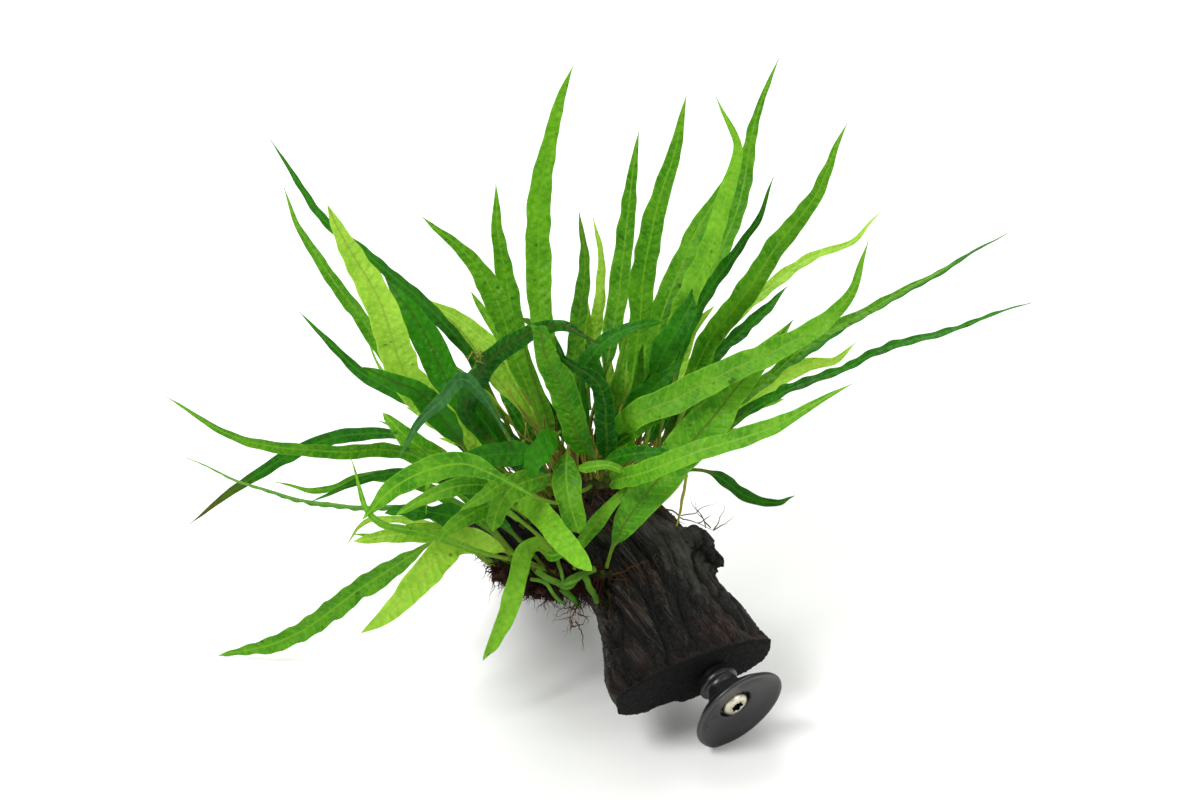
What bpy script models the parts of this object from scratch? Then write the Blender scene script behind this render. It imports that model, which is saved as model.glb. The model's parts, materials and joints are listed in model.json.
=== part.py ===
"""Java fern growing on a chunk of driftwood, with the suction cup that fixes it to a tank wall.

Lengths in the tables are millimetres. The plant and the wood are laid out on a board that leans back:
every place on it is (across, up, out), with `out` towards the front. `from_board` turns such a place into
the part's own frame, whose +Z is up and whose floor is z = 0.
"""

import math

import bmesh
import bpy
import numpy as np
from mathutils import Matrix, Vector, noise
from mathutils.kdtree import KDTree

MM = 0.001
GAP = 0.3  # kept between pieces that touch

BOARD_LEAN = math.radians(25)
FLOOR_DROP = 117.7  # the floor is this far below the board's origin
MIDDLE = (-0.4, 0.4)  # what brings the whole plant's box over the origin

SAW_CENTRE = (38.4, -108.8, 20.0)  # on the board: the middle of the sawn face
WOOD_ALONG = Vector((-0.538, 0.762, 0.360)).normalized()  # from the sawn face up the chunk
WOOD_ACROSS = Vector((WOOD_ALONG.y, -WOOD_ALONG.x, 0)).normalized()  # level, along the sawn face's long side
WOOD_UP = WOOD_ACROSS.cross(WOOD_ALONG)
BOARD_OUT = Vector((0, -math.cos(BOARD_LEAN), math.sin(BOARD_LEAN)))

CUP_SEAT = (7.5, -2.0)  # where the cup's axis meets the sawn face: across, up
CUP_HEIGHT = 20.0
CUP_RADIUS = 20.0
LIP_WIDTH = 1.6
BORE_RADIUS = 3.2
SHANK_RADIUS = 2.6
PILOT_DEPTH = 27.0
HEAD_RADIUS = 5.7
TAB_WAY = (-0.3, 0.954, 0.0)  # from the cup's axis to the lift tab on its rim
TAB_RADIUS = 5.0
TAB_REACH = 0.9  # how far the tab stands out past the rim

RING_COUNT = 13  # cross-sections of one frond, foot to tip
STALK_RADIUS = 0.9
BLADE_THICKNESS = 1.0
CLEARANCE = 2.2  # between the middles of neighbouring fronds
LINE_STEPS = 73
PARTING_ROUNDS = 40
LARGEST_PUSH = 1.5  # how far one round moves a frond
PUSH_SPREAD = 4.0  # steps along the frond over which a push fades
PUSH_REACH = 9
STIFF_SHARE = 0.12  # of the frond's length, from its foot, that hardly moves

# along, across, up, half width, half thickness above, below, pitch in degrees: the chunk's cross-sections.
# The first is the sawn face. The pitch turns the last ones down, into the foot that stands on the floor.
WOOD_SECTIONS = [
    (0, -1.2, 0, 38.2, 14, 14, 0),
    (10, -0.7, 0, 36.8, 16, 14, 0),
    (24, 2.5, 1, 33, 17, 16, 0),
    (38, 4.8, 3, 28.8, 18, 18, 0),
    (52, 8.2, 4, 26.2, 19, 19, 0),
    (66, 6, 4, 29, 19, 20, 0),
    (80, 0, 2, 34, 19, 22, 10),
    (94, -5, -2, 37, 19, 22, 28),
    (107, -5, -11, 37, 19, 20, 52),
    (116, 4, -23, 34, 18, 18, 72),
    (124, 14, -38, 30, 17, 16, 84),
    (129, 24, -56, 27, 17, 16, 92),
    (132, 32, -75, 26, 17, 14, 98),
    (132, 37, -94, 27, 17, 14, 100),
]

# Knobs on the chunk's right shoulder: along, across, up, radius
WOOD_KNOBS = [(50, 27, 14, 11), (57, 18, 15, 9), (42, 30, 12, 8)]

# Worn hollow in the sawn face's lower edge: across, up, radius of the ball that fits it
WOOD_NOTCH = (-15, -30, 20)
WOOD_RINGS = 28
WOOD_SIDES = 28
GRAIN_SWELL = 0.07  # how far grain ridges and lumps move the chunk's skin, as a share of its half width
LUMP_SWELL = 0.09

# Rhizomes: name, radius, places in the chunk's own directions (along, across, up)
RHIZOMES = [
    ("rhizome_top", 2.6,
     [(82, -36, 19), (85, -24, 23), (86, -8, 26), (85, 8, 26), (82, 22, 23), (78, 32, 16)]),
    ("rhizome_back", 2.2,
     [(98, -22, 23), (100, -6, 25), (99, 10, 24), (95, 24, 19), (88, 35, 10)]),
    ("rhizome_front", 2.4,
     [(84, -45, 8), (76, -43, 2), (68, -35, 0), (60, -27, 6), (53, -22, 14), (46, -16, 20)]),
]

ROOT_MAT_CENTRE = (-30.0, -75.0, 8.0)
ROOT_MAT_SIZE = (21.0, 7.0, 5.0)  # half its length, depth and height
ROOT_MAT_TILT = math.radians(24)  # down to the right
ROOT_MAT_ROOM = 3.2  # left round the rhizome, for the feet of its fronds
# The fan of wiry roots above the right knob, and the tassel that hangs beside the chunk: places on the board
WIRY_ROOTS = [
    (24, -43), (30, -39), (36, -34), (43, -38), (51, -42), (55, -47), (50, -49), (41, -48), (32, -46),
]
WIRY_ROOTS_OUT = -20.0
HANGING_ROOTS = [(-9, -80, 12), (-10, -88, 10), (-11, -97, 8)]

# Fronds: name, blade half width, roll in degrees, stalk's share of the length, colour, then the places on the
# board (across, up, out) that the frond passes through after it leaves its rhizome, the last one its tip.
# Each list is in the order in which the fronds stand along their rhizome, from its left or upper end.
FRONDS = {
    "rhizome_top": [
        ("left_brown_tip", 3.2, 15, 0.35, "deep",
         [(-65, -20, -22), (-87, -14, -38), (-108, -15, -50), (-140, -28, -63), (-174, -52, -75)]),
        ("left_wavy", 3.2, 20, 0.2, "deep",
         [(-64, -6, -11), (-82, 3, -23), (-103, 15, -35), (-124, 36, -45)]),
        ("left_reaching", 3.4, 20, 0.2, "mid",
         [(-78, 11, 24), (-96, 38, 46), (-111, 60, 66), (-117, 78, 80)]),
        ("left_broad_pale", 6.4, 5, 0.2, "pale",
         [(-71, 4, 46), (-82, 36, 74), (-92, 56, 89), (-99, 70, 100)]),
        ("left_broad_deep", 7.2, 10, 0.2, "deep",
         [(-59, 4, 8), (-71, 28, 9), (-79, 40, 9), (-85, 48, 7)]),
        ("arch_left", 4.4, 10, 0.25, "deep",
         [(-51, -6, 37), (-44, 12, 56), (-26, 25, 75), (-9, 27, 85), (-1, 20, 87)]),
        ("front_level", 3.2, 10, 0.3, "teal",
         [(-25, -27, 40), (-38, -21, 56), (-53, -22, 64)]),
        ("upright_leaning_left", 4.8, 20, 0.3, "mid",
         [(-31, 12, 24), (-41.5, 42.5, 46), (-53.5, 57.5, 61), (-65.5, 67.5, 73)]),
        ("front_short", 3.8, 10, 0.3, "bright",
         [(-31, -31, 50), (-38, -32, 64), (-46, -38, 70), (-52, -41, 72)]),
        ("front_blunt", 5.2, 0, 0.25, "bright",
         [(-45, -31, 24), (-26, -41, 44), (-15, -52, 62), (-3, -63, 78)]),
        ("upright_left", 4.4, 15, 0.3, "mid",
         [(-29, 8, 1), (-36, 45, 18), (-39, 66, 33), (-40, 82, 44)]),
        ("front_arch", 4.7, 10, 0.62, "bright",
         [(-20, -39, 62), (-34, -31, 77), (-54, -23, 93), (-72, -30, 96), (-86.5, -43, 94)]),
        ("arch_middle", 4.4, 20, 0.25, "deep",
         [(3, -18, 34), (2, -4, 46), (1, 4, 53), (-4, 10, 59), (-12, 14.5, 63), (-19, 20, 66)]),
        ("upright_tall_left", 5.2, 0, 0.22, "mid",
         [(-22, 24, -20), (-25, 72, -13), (-19, 108, 3), (-11, 130, 20)]),
        ("arch_right", 5.8, 5, 0.25, "mid",
         [(-9, -13.5, 41), (-14.4, 5, 60), (-19, 14, 72),
          (-21.8, 24, 84), (-23.5, 30, 91), (-31, 28.5, 94)]),
        ("right_inner", 4.6, 15, 0.25, "deep",
         [(21, -13, -9), (27.5, 7, -15), (35, 27, -21)]),
        ("upright_middle", 4.7, 10, 0.22, "mid",
         [(14.2, 20, 4), (19.2, 63, 22), (28.2, 93, 39), (33.2, 115, 57)]),
        ("right_low_front", 4.4, 20, 0.25, "bright",
         [(4, -32, 36), (16, -27, 64), (34, -20, 78), (60, -12, 86), (92, 5, 92)]),
        ("upright_curled", 4.4, 20, 0.2, "bright",
         [(28, 21, 27), (43, 61, 56), (51, 88, 73), (50, 101, 79), (42.5, 111, 79)]),
        ("upright_right", 5.0, 10, 0.25, "mid",
         [(23, 24, -12), (37, 64, -15), (48, 83, -19), (55, 96, -21)]),
        ("upright_narrow", 3.0, 35, 0.3, "deep",
         [(35, 28, 19), (53, 58, 44), (61, 69, 54), (65, 83, 63)]),
        ("right_tall", 4.7, 10, 0.2, "mid",
         [(40, 16, 5), (64, 52, 23), (82, 78, 39), (94, 104, 57)]),
        ("right_broad", 5.4, 10, 0.15, "bright",
         [(8, -10, 38), (26, -1, 48), (49, 11, 56), (72, 21, 62), (92, 37, 69), (99, 58, 76)]),
        ("right_wavy", 2.8, 50, 0.2, "deep",
         [(63, -2, 10), (93, 11, 28), (114, 21, 41), (143, 30, 56), (161, 36, 68)]),
    ],
    "rhizome_back": [
        ("left_long", 3.2, 30, 0.15, "deep",
         [(-55, 22, -13), (-82, 49, -25), (-112, 74, -40), (-138, 108, -55)]),
        ("left_thin_curved", 1.9, 30, 0.1, "bright",
         [(-66, 6, -32), (-87, 9, -47), (-96, 20, -52), (-98, 27, -54)]),
        ("left_pale_short", 4.4, 10, 0.25, "pale",
         [(-37, 12, -46), (-58, 33, -64), (-71, 40, -72), (-81, 47, -76)]),
        ("upright_back_left", 4.2, 35, 0.3, "mid",
         [(-10, 21, -38), (-6, 56, -43), (-7, 69, -44), (-9, 77, -43)]),
        ("upright_back_pale", 3.5, 40, 0.3, "pale",
         [(-4, 17, -51), (1, 50, -59), (0, 65, -61), (-3, 76, -60)]),
        ("upright_back_middle", 4.4, 20, 0.25, "mid",
         [(5, 25, -26), (10, 61, -22), (13, 89, -15), (15, 107, -8)]),
        ("upright_tall_right", 4.2, 20, 0.22, "mid",
         [(34, 29, -47), (57, 79, -59), (66, 118, -56), (74, 141, -49)]),
        ("right_toothed", 3.5, 20, 0.3, "deep",
         [(33, 2, -33), (56, 26, -42), (71, 39, -48), (78, 47, -52)]),
        ("right_wisp", 3.6, 40, 0.2, "pale",
         [(42, 19.4, -44), (64, 41.4, -53), (91, 60.4, -62), (108, 67.4, -66), (118, 79.4, -67)]),
        ("right_pale_short", 4.2, 20, 0.3, "pale",
         [(55, -5, -61), (86, 14, -82), (104, 18, -92), (110, 25, -97)]),
        ("right_long_upper", 3.0, 55, 0.15, "deep",
         [(66, 7, -37), (100, 29, -51), (137, 50, -65), (173, 71, -80)]),
        ("right_long_lower", 3.0, 40, 0.2, "mid",
         [(57, 0, -16), (85, 23, -13), (113, 38, -14), (143, 56, -17)]),
        ("right_low_back", 3.0, 30, 0.3, "deep",
         [(43, -29, -38), (63, -41, -50), (78, -43, -56), (81, -40, -58)]),
    ],
    "rhizome_front": [
        ("left_floor", 4.7, 20, 0.2, "mid",
         [(-61, -55, 4), (-97, -77, -14), (-128, -97, -34), (-158, -107, -48)]),
        ("left_thin", 2.4, 65, 0.1, "mid",
         [(-73, -45, -14), (-107, -43, -28), (-141, -37, -43), (-173, -25, -59)]),
        ("left_small_back", 2.0, 30, 0.2, "pale",
         [(-65, -52, -10), (-92, -48, -20), (-99, -52, -24), (-103, -59, -26)]),
        ("left_small_curled", 2.5, 10, 0.3, "bright",
         [(-64, -28, -8), (-77, -19, -9), (-81, -11, -9), (-89, -9, -8)]),
        ("left_level", 3.0, 30, 0.2, "mid",
         [(-55, -53, 14), (-73, -50, 20), (-85, -53, 24), (-96, -53, 26)]),
        ("left_arm", 3.2, 25, 0.15, "mid",
         [(-70, -22.5, 33), (-103, -19.5, 54), (-134, -14.5, 75), (-158, 0.5, 94)]),
        ("left_short", 3.3, 40, 0.2, "mid",
         [(-63, -37.2, 14), (-89, -29.2, 27), (-109, -35.2, 34), (-124, -32.2, 40)]),
        ("left_dark", 3.2, 40, 0.15, "deep",
         [(-51, -35, 30), (-69, -27, 46), (-91, -30, 55), (-109, -38, 60)]),
        ("left_broad_low", 6.0, 10, 0.25, "pale",
         [(-53, -55, 22), (-70, -69, 36), (-81, -81, 42), (-91, -89, 46)]),
        ("left_small_front", 2.0, 20, 0.2, "bright",
         [(-66, -52, 40), (-85, -45, 60), (-91, -32, 68), (-93, -23, 75)]),
        ("left_teal", 2.9, 25, 0.55, "teal",
         [(-49, 8, 65), (-63, -3, 76), (-71, -12, 79), (-73, -21, 78)]),
        ("left_small_drooping", 2.0, 10, 0.3, "bright",
         [(-49, -32, 56), (-60, -25, 73), (-64, -30, 75), (-65, -42, 72)]),
        ("front_hanging", 4.0, 20, 0.2, "bright",
         [(-26.4, -57, 20), (-32.4, -71, 26), (-38.4, -88, 24), (-45.4, -102, 18)]),
        ("right_front_broad", 8.2, 5, 0.12, "bright",
         [(15, -40, 40), (42, -9, 45), (60, 14, 47), (73, 30, 49)]),
    ],
}

COLOURS = {
    "pale": (0.35, 0.72, 0.05),
    "bright": (0.16, 0.50, 0.03),
    "mid": (0.08, 0.34, 0.02),
    "deep": (0.03, 0.20, 0.015),
    "teal": (0.04, 0.22, 0.09),
}


def material(name, colour, roughness, metallic=0.0):
    made = bpy.data.materials.new(name)
    made.use_nodes = True
    shader = made.node_tree.nodes["Principled BSDF"]
    shader.inputs["Base Color"].default_value = (*colour, 1.0)
    shader.inputs["Roughness"].default_value = roughness
    shader.inputs["Metallic"].default_value = metallic
    made.diffuse_color = (*colour, 1.0)
    return made


def from_board(place):
    """A place on the leaning board, in the part's own frame, both in millimetres."""
    across, up, out = place
    lean, rise = math.cos(BOARD_LEAN), math.sin(BOARD_LEAN)
    return Vector(
        (across - MIDDLE[0], up * rise - out * lean - MIDDLE[1], up * lean + out * rise + FLOOR_DROP)
    )


def wood_place(along, across, up):
    """A place given in the chunk's own directions, from the middle of its sawn face."""
    return from_board(SAW_CENTRE) + WOOD_ALONG * along + WOOD_ACROSS * across + WOOD_UP * up


def add_object(name, bm, collection, finish, smooth=True):
    """The bmesh, in millimetres, as an object in metres."""
    bmesh.ops.scale(bm, vec=(MM, MM, MM), verts=bm.verts)
    bmesh.ops.recalc_face_normals(bm, faces=bm.faces)
    mesh = bpy.data.meshes.new(name)
    bm.to_mesh(mesh)
    bm.free()
    if smooth:
        mesh.shade_smooth()
    mesh.materials.append(finish)
    made = bpy.data.objects.new(name, mesh)
    collection.objects.link(made)
    return made


def loft(rings, pointed=False):
    """A closed bmesh through the rings, its first end capped and its last capped or drawn to a point."""
    bm = bmesh.new()
    rows = [[bm.verts.new(place) for place in ring] for ring in rings]
    count = len(rows[0])
    for near, far in zip(rows, rows[1:]):
        for i in range(count):
            j = (i + 1) % count
            bm.faces.new((near[i], near[j], far[j], far[i]))
    bm.faces.new(list(reversed(rows[0])))
    if pointed:
        tip = bm.verts.new(sum((Vector(place) for place in rings[-1]), Vector()) / count)
        tip.co += (tip.co - sum((Vector(place) for place in rings[-2]), Vector()) / count) * 0.4
        for i in range(count):
            bm.faces.new((rows[-1][i], rows[-1][(i + 1) % count], tip))
    else:
        bm.faces.new(rows[-1])
    bmesh.ops.triangulate(bm, faces=bm.faces)
    return bm


def smooth_path(places, count):
    """`count` even steps along a smooth curve through the places (Catmull-Rom with chord-length knots)."""
    knots = [Vector(place) for place in places]
    knots = [knots[0] * 2 - knots[1], *knots, knots[-1] * 2 - knots[-2]]
    fine = []
    for before, start, end, after in zip(knots, knots[1:], knots[2:], knots[3:]):
        span = max((end - start).length, 1e-6)
        leave = (end - before) * (span / max((start - before).length + span, 1e-6))
        arrive = (after - start) * (span / max((after - end).length + span, 1e-6))
        for step in range(24):
            t = step / 24
            fine.append(
                start * (2 * t**3 - 3 * t**2 + 1)
                + leave * (t**3 - 2 * t**2 + t)
                + end * (3 * t**2 - 2 * t**3)
                + arrive * (t**3 - t**2)
            )
    fine.append(knots[-2])
    fine = np.array(fine)
    reach = np.concatenate([[0], np.cumsum(np.linalg.norm(np.diff(fine, axis=0), axis=1))])
    even = np.linspace(0, reach[-1], count)
    return np.stack([np.interp(even, reach, fine[:, axis]) for axis in range(3)], axis=1)


def cutter(name, bm, matrix=None):
    """A hidden helper for a Boolean."""
    made = add_object(name, bm, helpers, helper_finish, smooth=False)
    if matrix is not None:
        made.matrix_world = matrix
    made.hide_render = True
    made.display_type = "WIRE"
    return made


def boolean(target, other, operation):
    added = target.modifiers.new(other.name, "BOOLEAN")
    added.operation = operation
    added.solver = "EXACT"
    added.object = other


def cup_frame():
    """The cup's own frame: its seat on the sawn face, +Z into the wood, +X along the face."""
    seat = wood_place(0, *CUP_SEAT) * MM
    turn = Matrix((WOOD_ACROSS, WOOD_ALONG.cross(WOOD_ACROSS), WOOD_ALONG)).transposed()
    return Matrix.Translation(seat) @ turn.to_4x4()


def driftwood():
    """One chunk: cross-sections lofted from the sawn face to the foot, with ridged grain and knobs."""
    table = np.array(WOOD_SECTIONS, float)
    fine = smooth_table(table, WOOD_RINGS)
    rings = []
    for index, (along, across, up, half, above, below, pitch) in enumerate(fine):
        tilt = math.radians(pitch)
        upward = WOOD_UP * math.cos(tilt) + WOOD_ALONG * math.sin(tilt)
        centre = wood_place(along, across, up)
        ring = []
        for step in range(WOOD_SIDES):
            angle = 2 * math.pi * step / WOOD_SIDES
            grain = noise.noise(Vector((5 * math.cos(angle), 5 * math.sin(angle), along / 60 + pitch / 90)))
            lump = noise.noise(Vector((1.6 * math.cos(angle), 1.6 * math.sin(angle), index / 5 + 7)))
            swell = 1 + GRAIN_SWELL * grain + LUMP_SWELL * lump
            thick = above if math.sin(angle) > 0 else below
            sideways = WOOD_ACROSS * (half * swell * math.cos(angle))
            ring.append(centre + sideways + upward * (thick * swell * math.sin(angle)))
        rings.append(ring)
    wood = add_object("driftwood", loft(rings), parts, wood_finish)
    for number, (along, across, up, radius) in enumerate(WOOD_KNOBS, 1):
        bm = bmesh.new()
        bmesh.ops.create_icosphere(bm, subdivisions=2, radius=radius)
        place = wood_place(along, across, up)
        bmesh.ops.scale(bm, vec=(1.0, 0.9, 0.85), verts=bm.verts)
        bmesh.ops.translate(bm, vec=place, verts=bm.verts)
        boolean(wood, cutter(f"knob_{number}", bm), "UNION")
    across, up, radius = WOOD_NOTCH
    bm = bmesh.new()
    bmesh.ops.create_icosphere(bm, subdivisions=2, radius=radius)
    bmesh.ops.translate(bm, vec=wood_place(0, across, up), verts=bm.verts)
    boolean(wood, cutter("notch", bm), "DIFFERENCE")
    bm = bmesh.new()
    bmesh.ops.create_cube(bm, size=400)
    bmesh.ops.translate(bm, vec=(0, 0, -200), verts=bm.verts)
    boolean(wood, cutter("floor_cut", bm), "DIFFERENCE")
    bm = bmesh.new()
    hole = {"radius1": BORE_RADIUS, "radius2": BORE_RADIUS, "depth": 2 * PILOT_DEPTH}
    bmesh.ops.create_cone(bm, cap_ends=True, segments=16, **hole)
    boolean(wood, cutter("pilot_hole", bm, cup_frame()), "DIFFERENCE")
    return wood


def smooth_table(table, count):
    """`count` rows from a smooth curve through a table's rows, evenly in its first three columns."""
    from_row = np.arange(len(table), dtype=float)
    fine_rows = np.linspace(0, len(table) - 1, 12 * len(table))
    fine = np.stack([cubic(from_row, column, fine_rows) for column in table.T], axis=1)
    reach = np.concatenate([[0], np.cumsum(np.linalg.norm(np.diff(fine[:, :3], axis=0), axis=1))])
    even = np.linspace(0, reach[-1], count)
    return np.stack([np.interp(even, reach, fine[:, column]) for column in range(table.shape[1])], axis=1)


def cubic(knots, values, at):
    """Hermite interpolation with central slopes."""
    slopes = np.gradient(values, knots)
    index = np.clip(np.searchsorted(knots, at, side="right") - 1, 0, len(knots) - 2)
    t = at - knots[index]
    return (
        values[index] * (2 * t**3 - 3 * t**2 + 1)
        + slopes[index] * (t**3 - 2 * t**2 + t)
        + values[index + 1] * (3 * t**2 - 2 * t**3)
        + slopes[index + 1] * (t**3 - t**2)
    )


def turned(name, profile, collection, finish, steps=28):
    """A profile of (radius, height) in millimetres turned about Z."""
    mesh = bpy.data.meshes.new(name)
    points = [(radius * MM, 0, height * MM) for radius, height in profile]
    edges = [(i, i + 1) for i in range(len(points) - 1)]
    if profile[0][0] > 0:
        edges.append((len(points) - 1, 0))
    mesh.from_pydata(points, edges, [])
    mesh.materials.append(finish)
    made = bpy.data.objects.new(name, mesh)
    collection.objects.link(made)
    screw = made.modifiers.new("turn", "SCREW")
    screw.steps = screw.render_steps = steps
    screw.use_merge_vertices = True
    screw.merge_threshold = 1e-5
    screw.use_smooth_shade = True
    return made


def suction_cup():
    """Neck, collar and dished disc in one moulding, turned about its bore, with a lift tab on the rim."""
    radius, height = CUP_RADIUS, CUP_HEIGHT
    profile = [
        (BORE_RADIUS, -GAP), (7.4, -GAP), (7.4, -3.0), (8.4, -3.8), (8.4, -5.6), (7.2, -6.4), (7.2, -8.6),
        (8.6, -10.6), (12.0, -13.2), (16.5, -15.9), (radius - 0.3, -height + 1.4), (radius, -height + 0.6),
        (radius - 0.3, -height), (radius - 0.3 - LIP_WIDTH, -height), (17.4, -height + 0.5),
        (14.0, -height + 1.9), (10.5, -height + 2.8), (7.0, -height + 3.1), (6.6, -height + 5.6),
        (BORE_RADIUS, -height + 5.6),
    ]
    cup = turned("suction_cup", profile, parts, rubber_finish)
    cup.matrix_world = cup_frame()
    bm = bmesh.new()
    disc = {"radius1": TAB_RADIUS - 0.5, "radius2": TAB_RADIUS, "depth": 1.5}
    bmesh.ops.create_cone(bm, cap_ends=True, segments=20, **disc)
    towards = Vector(TAB_WAY).normalized() * (radius + TAB_REACH - TAB_RADIUS)
    bmesh.ops.translate(bm, vec=towards + Vector((0, 0, 1.3 - height)), verts=bm.verts)
    boolean(cup, cutter("lift_tab", bm, cup_frame()), "UNION")
    return cup


def cup_screw():
    """Pan-head screw with a six-lobe recess; its shank runs through the cup into the pilot hole."""
    seat = -CUP_HEIGHT + 5.6 - GAP
    profile = [
        (0, 23.0), (1.0, 22.4), (SHANK_RADIUS, 18.5), (SHANK_RADIUS, seat), (HEAD_RADIUS, seat),
        (HEAD_RADIUS, seat - 1.3), (5.2, seat - 2.5), (3.9, seat - 3.3), (0, seat - 3.6),
    ]
    screw = turned("cup_screw", profile, parts, steel_finish, steps=20)
    screw.matrix_world = cup_frame()
    bm = bmesh.new()
    outline = []
    for step in range(36):
        angle = 2 * math.pi * step / 36
        reach = 2.2 + 0.45 * math.cos(6 * angle)
        outline.append(bm.verts.new((reach * math.cos(angle), reach * math.sin(angle), seat - 5)))
    base = bm.faces.new(outline)
    pulled = bmesh.ops.extrude_face_region(bm, geom=[base])["geom"]
    bmesh.ops.translate(bm, vec=(0, 0, 3.4), verts=[e for e in pulled if isinstance(e, bmesh.types.BMVert)])
    boolean(screw, cutter("six_lobe_recess", bm, cup_frame()), "DIFFERENCE")
    return screw


def tube_mesh(places, radius, sides=8, ends=0.5):
    """A stem of round section along smooth places, thinner towards both ends."""
    count = max(6, len(places) * 3)
    path = [Vector(place) for place in smooth_path(places, count)]
    rings = []
    for index, centre in enumerate(path):
        ahead = (path[min(index + 1, count - 1)] - path[max(index - 1, 0)]).normalized()
        side = ahead.cross(BOARD_OUT).normalized()
        over = side.cross(ahead)
        share = index / (count - 1)
        size = radius * (ends + (1 - ends) * min(1, 5 * share, 5 * (1 - share)))
        angles = [2 * math.pi * i / sides for i in range(sides)]
        rings.append([centre + (side * math.cos(angle) + over * math.sin(angle)) * size for angle in angles])
    return loft(rings)


def tube(name, places, radius, finish, **shape):
    return add_object(name, tube_mesh(places, radius, **shape), parts, finish)


def frond_line(row, foot, leave):
    """Even steps along a frond, foot to tip, before its neighbours push it aside."""
    places = [from_board(place) for place in row[5]]
    return smooth_path([foot, foot + leave * 3.0, *places], LINE_STEPS)


def half_width(share, blade, stalk):
    """Half the frond's width at a share of its length: a thin stalk, then a blade that narrows to its tip."""
    if share <= stalk:
        return STALK_RADIUS
    along = (share - stalk) / (1 - stalk)
    swell = math.sin(math.pi * along**0.72) ** 0.75 if along < 1 else 0.0
    return max(STALK_RADIUS * (1 - along), blade * swell, 0.25)


def across_line(line, roll):
    """The width direction at each step: across the view from the front, then rolled about the frond."""
    ahead = np.gradient(line, axis=0)
    ahead /= np.linalg.norm(ahead, axis=1)[:, None]
    flat = np.cross(ahead, np.array(BOARD_OUT))
    for index in range(1, len(flat)):
        if np.dot(flat[index], flat[index - 1]) < 0:
            flat[index] *= -1
    strength = np.linalg.norm(flat, axis=1)
    for axis in range(3):
        column = np.convolve(np.pad(flat[:, axis], 6, mode="edge"), np.ones(13) / 13, mode="valid")
        flat[:, axis] = np.where(strength > 0.35, flat[:, axis], column)
    flat -= ahead * np.sum(flat * ahead, axis=1)[:, None]
    flat /= np.linalg.norm(flat, axis=1)[:, None]
    over = np.cross(flat, ahead)
    angle = math.radians(roll)
    return flat * math.cos(angle) + over * math.sin(angle), over * math.cos(angle) - flat * math.sin(angle)


def part_fronds(lines, rows):
    """Moves fronds that would cross forwards or backwards, little by little, until they are clear."""
    shares = np.linspace(0, 1, LINE_STEPS)
    freedom = np.clip(shares / STIFF_SHARE, 0.03, 1)
    reach = np.arange(-PUSH_REACH, PUSH_REACH + 1)
    bell = 0.3 * np.exp(-((reach / PUSH_SPREAD) ** 2))
    out = np.array(BOARD_OUT)
    for _ in range(PARTING_ROUNDS):
        tree_places, owners, steps = [], [], []
        for number, (line, row) in enumerate(zip(lines, rows)):
            wide, _ = across_line(line, row[2])
            for step in range(3, LINE_STEPS):
                half = half_width(shares[step], row[1], row[3])
                for k in np.arange(-half, half + 0.01, max(half / max(round(half / 1.3), 1), 0.4)):
                    tree_places.append(line[step] + wide[step] * k)
                    owners.append(number)
                    steps.append(step)
        tree = KDTree(len(tree_places))
        for index, place in enumerate(tree_places):
            tree.insert(place, index)
        tree.balance()
        contacts = {}
        for index, place in enumerate(tree_places):
            for _, other, distance in tree.find_range(place, CLEARANCE):
                if other > index and owners[other] != owners[index]:
                    pair = (owners[index], owners[other])
                    contacts.setdefault(pair, []).append((index, other, distance))
        if not contacts:
            break
        pushes = np.zeros((len(lines), LINE_STEPS))
        for (first, second), found in contacts.items():
            lead = sum(float((tree_places[a] - tree_places[b]) @ out) for a, b, _ in found)
            way = 1 if lead >= 0 else -1
            for a, b, distance in found:
                push = way * ((CLEARANCE - distance) * 0.5 + 0.1)
                for number, step, part_push in ((first, steps[a], push), (second, steps[b], -push)):
                    if abs(part_push) > abs(pushes[number, step]):
                        pushes[number, step] = part_push
        for number in range(len(lines)):
            spread = np.convolve(np.pad(pushes[number], PUSH_REACH), bell, mode="valid")
            moved = np.clip(spread, -LARGEST_PUSH, LARGEST_PUSH) * freedom
            lines[number] = lines[number] + moved[:, None] * out
    return lines


def frond(name, line, row, finish):
    """One frond: a thin four-sided body, its ridges half the blade's thickness above and below its middle."""
    _, blade, roll, stalk, _, _ = row
    wide, over = across_line(line, roll)
    shares = np.linspace(0, 1, LINE_STEPS)
    rings = []
    for share in np.linspace(0, 0.975, RING_COUNT):
        centre, side, lift = (at_share(values, shares, share) for values in (line, wide, over))
        half = half_width(share, blade, stalk)
        thick = max(BLADE_THICKNESS / 2, STALK_RADIUS * (1 - share / stalk))
        thick *= min(1.0, (1.05 - share) * 6)
        ways = (side * half, lift * thick, -side * half, -lift * thick)
        rings.append([Vector(centre + way) for way in ways])
    return add_object(name, loft(rings, pointed=True), parts, finish)


def at_share(values, shares, share):
    """The row of a table of vectors at one share of the length."""
    return np.array([np.interp(share, shares, values[:, axis]) for axis in range(3)])


def fronds_on(rhizome, places, rows):
    """The fronds of one rhizome, as lines whose feet stand evenly along it."""
    path = smooth_path(places, 60)
    lines = []
    for number, row in enumerate(rows):
        share = (number + 0.5) / len(rows)
        place = round(share * 59)
        centre = Vector(path[place])
        ahead = Vector(path[min(place + 1, 59)] - path[max(place - 1, 0)]).normalized()
        towards = (from_board(row[5][0]) - centre).normalized()
        towards = (towards - ahead * (0.75 * towards.dot(ahead))).normalized()
        lines.append(frond_line(row, centre + towards * (RHIZOME_RADIUS[rhizome] + STALK_RADIUS), towards))
    return lines


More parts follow.
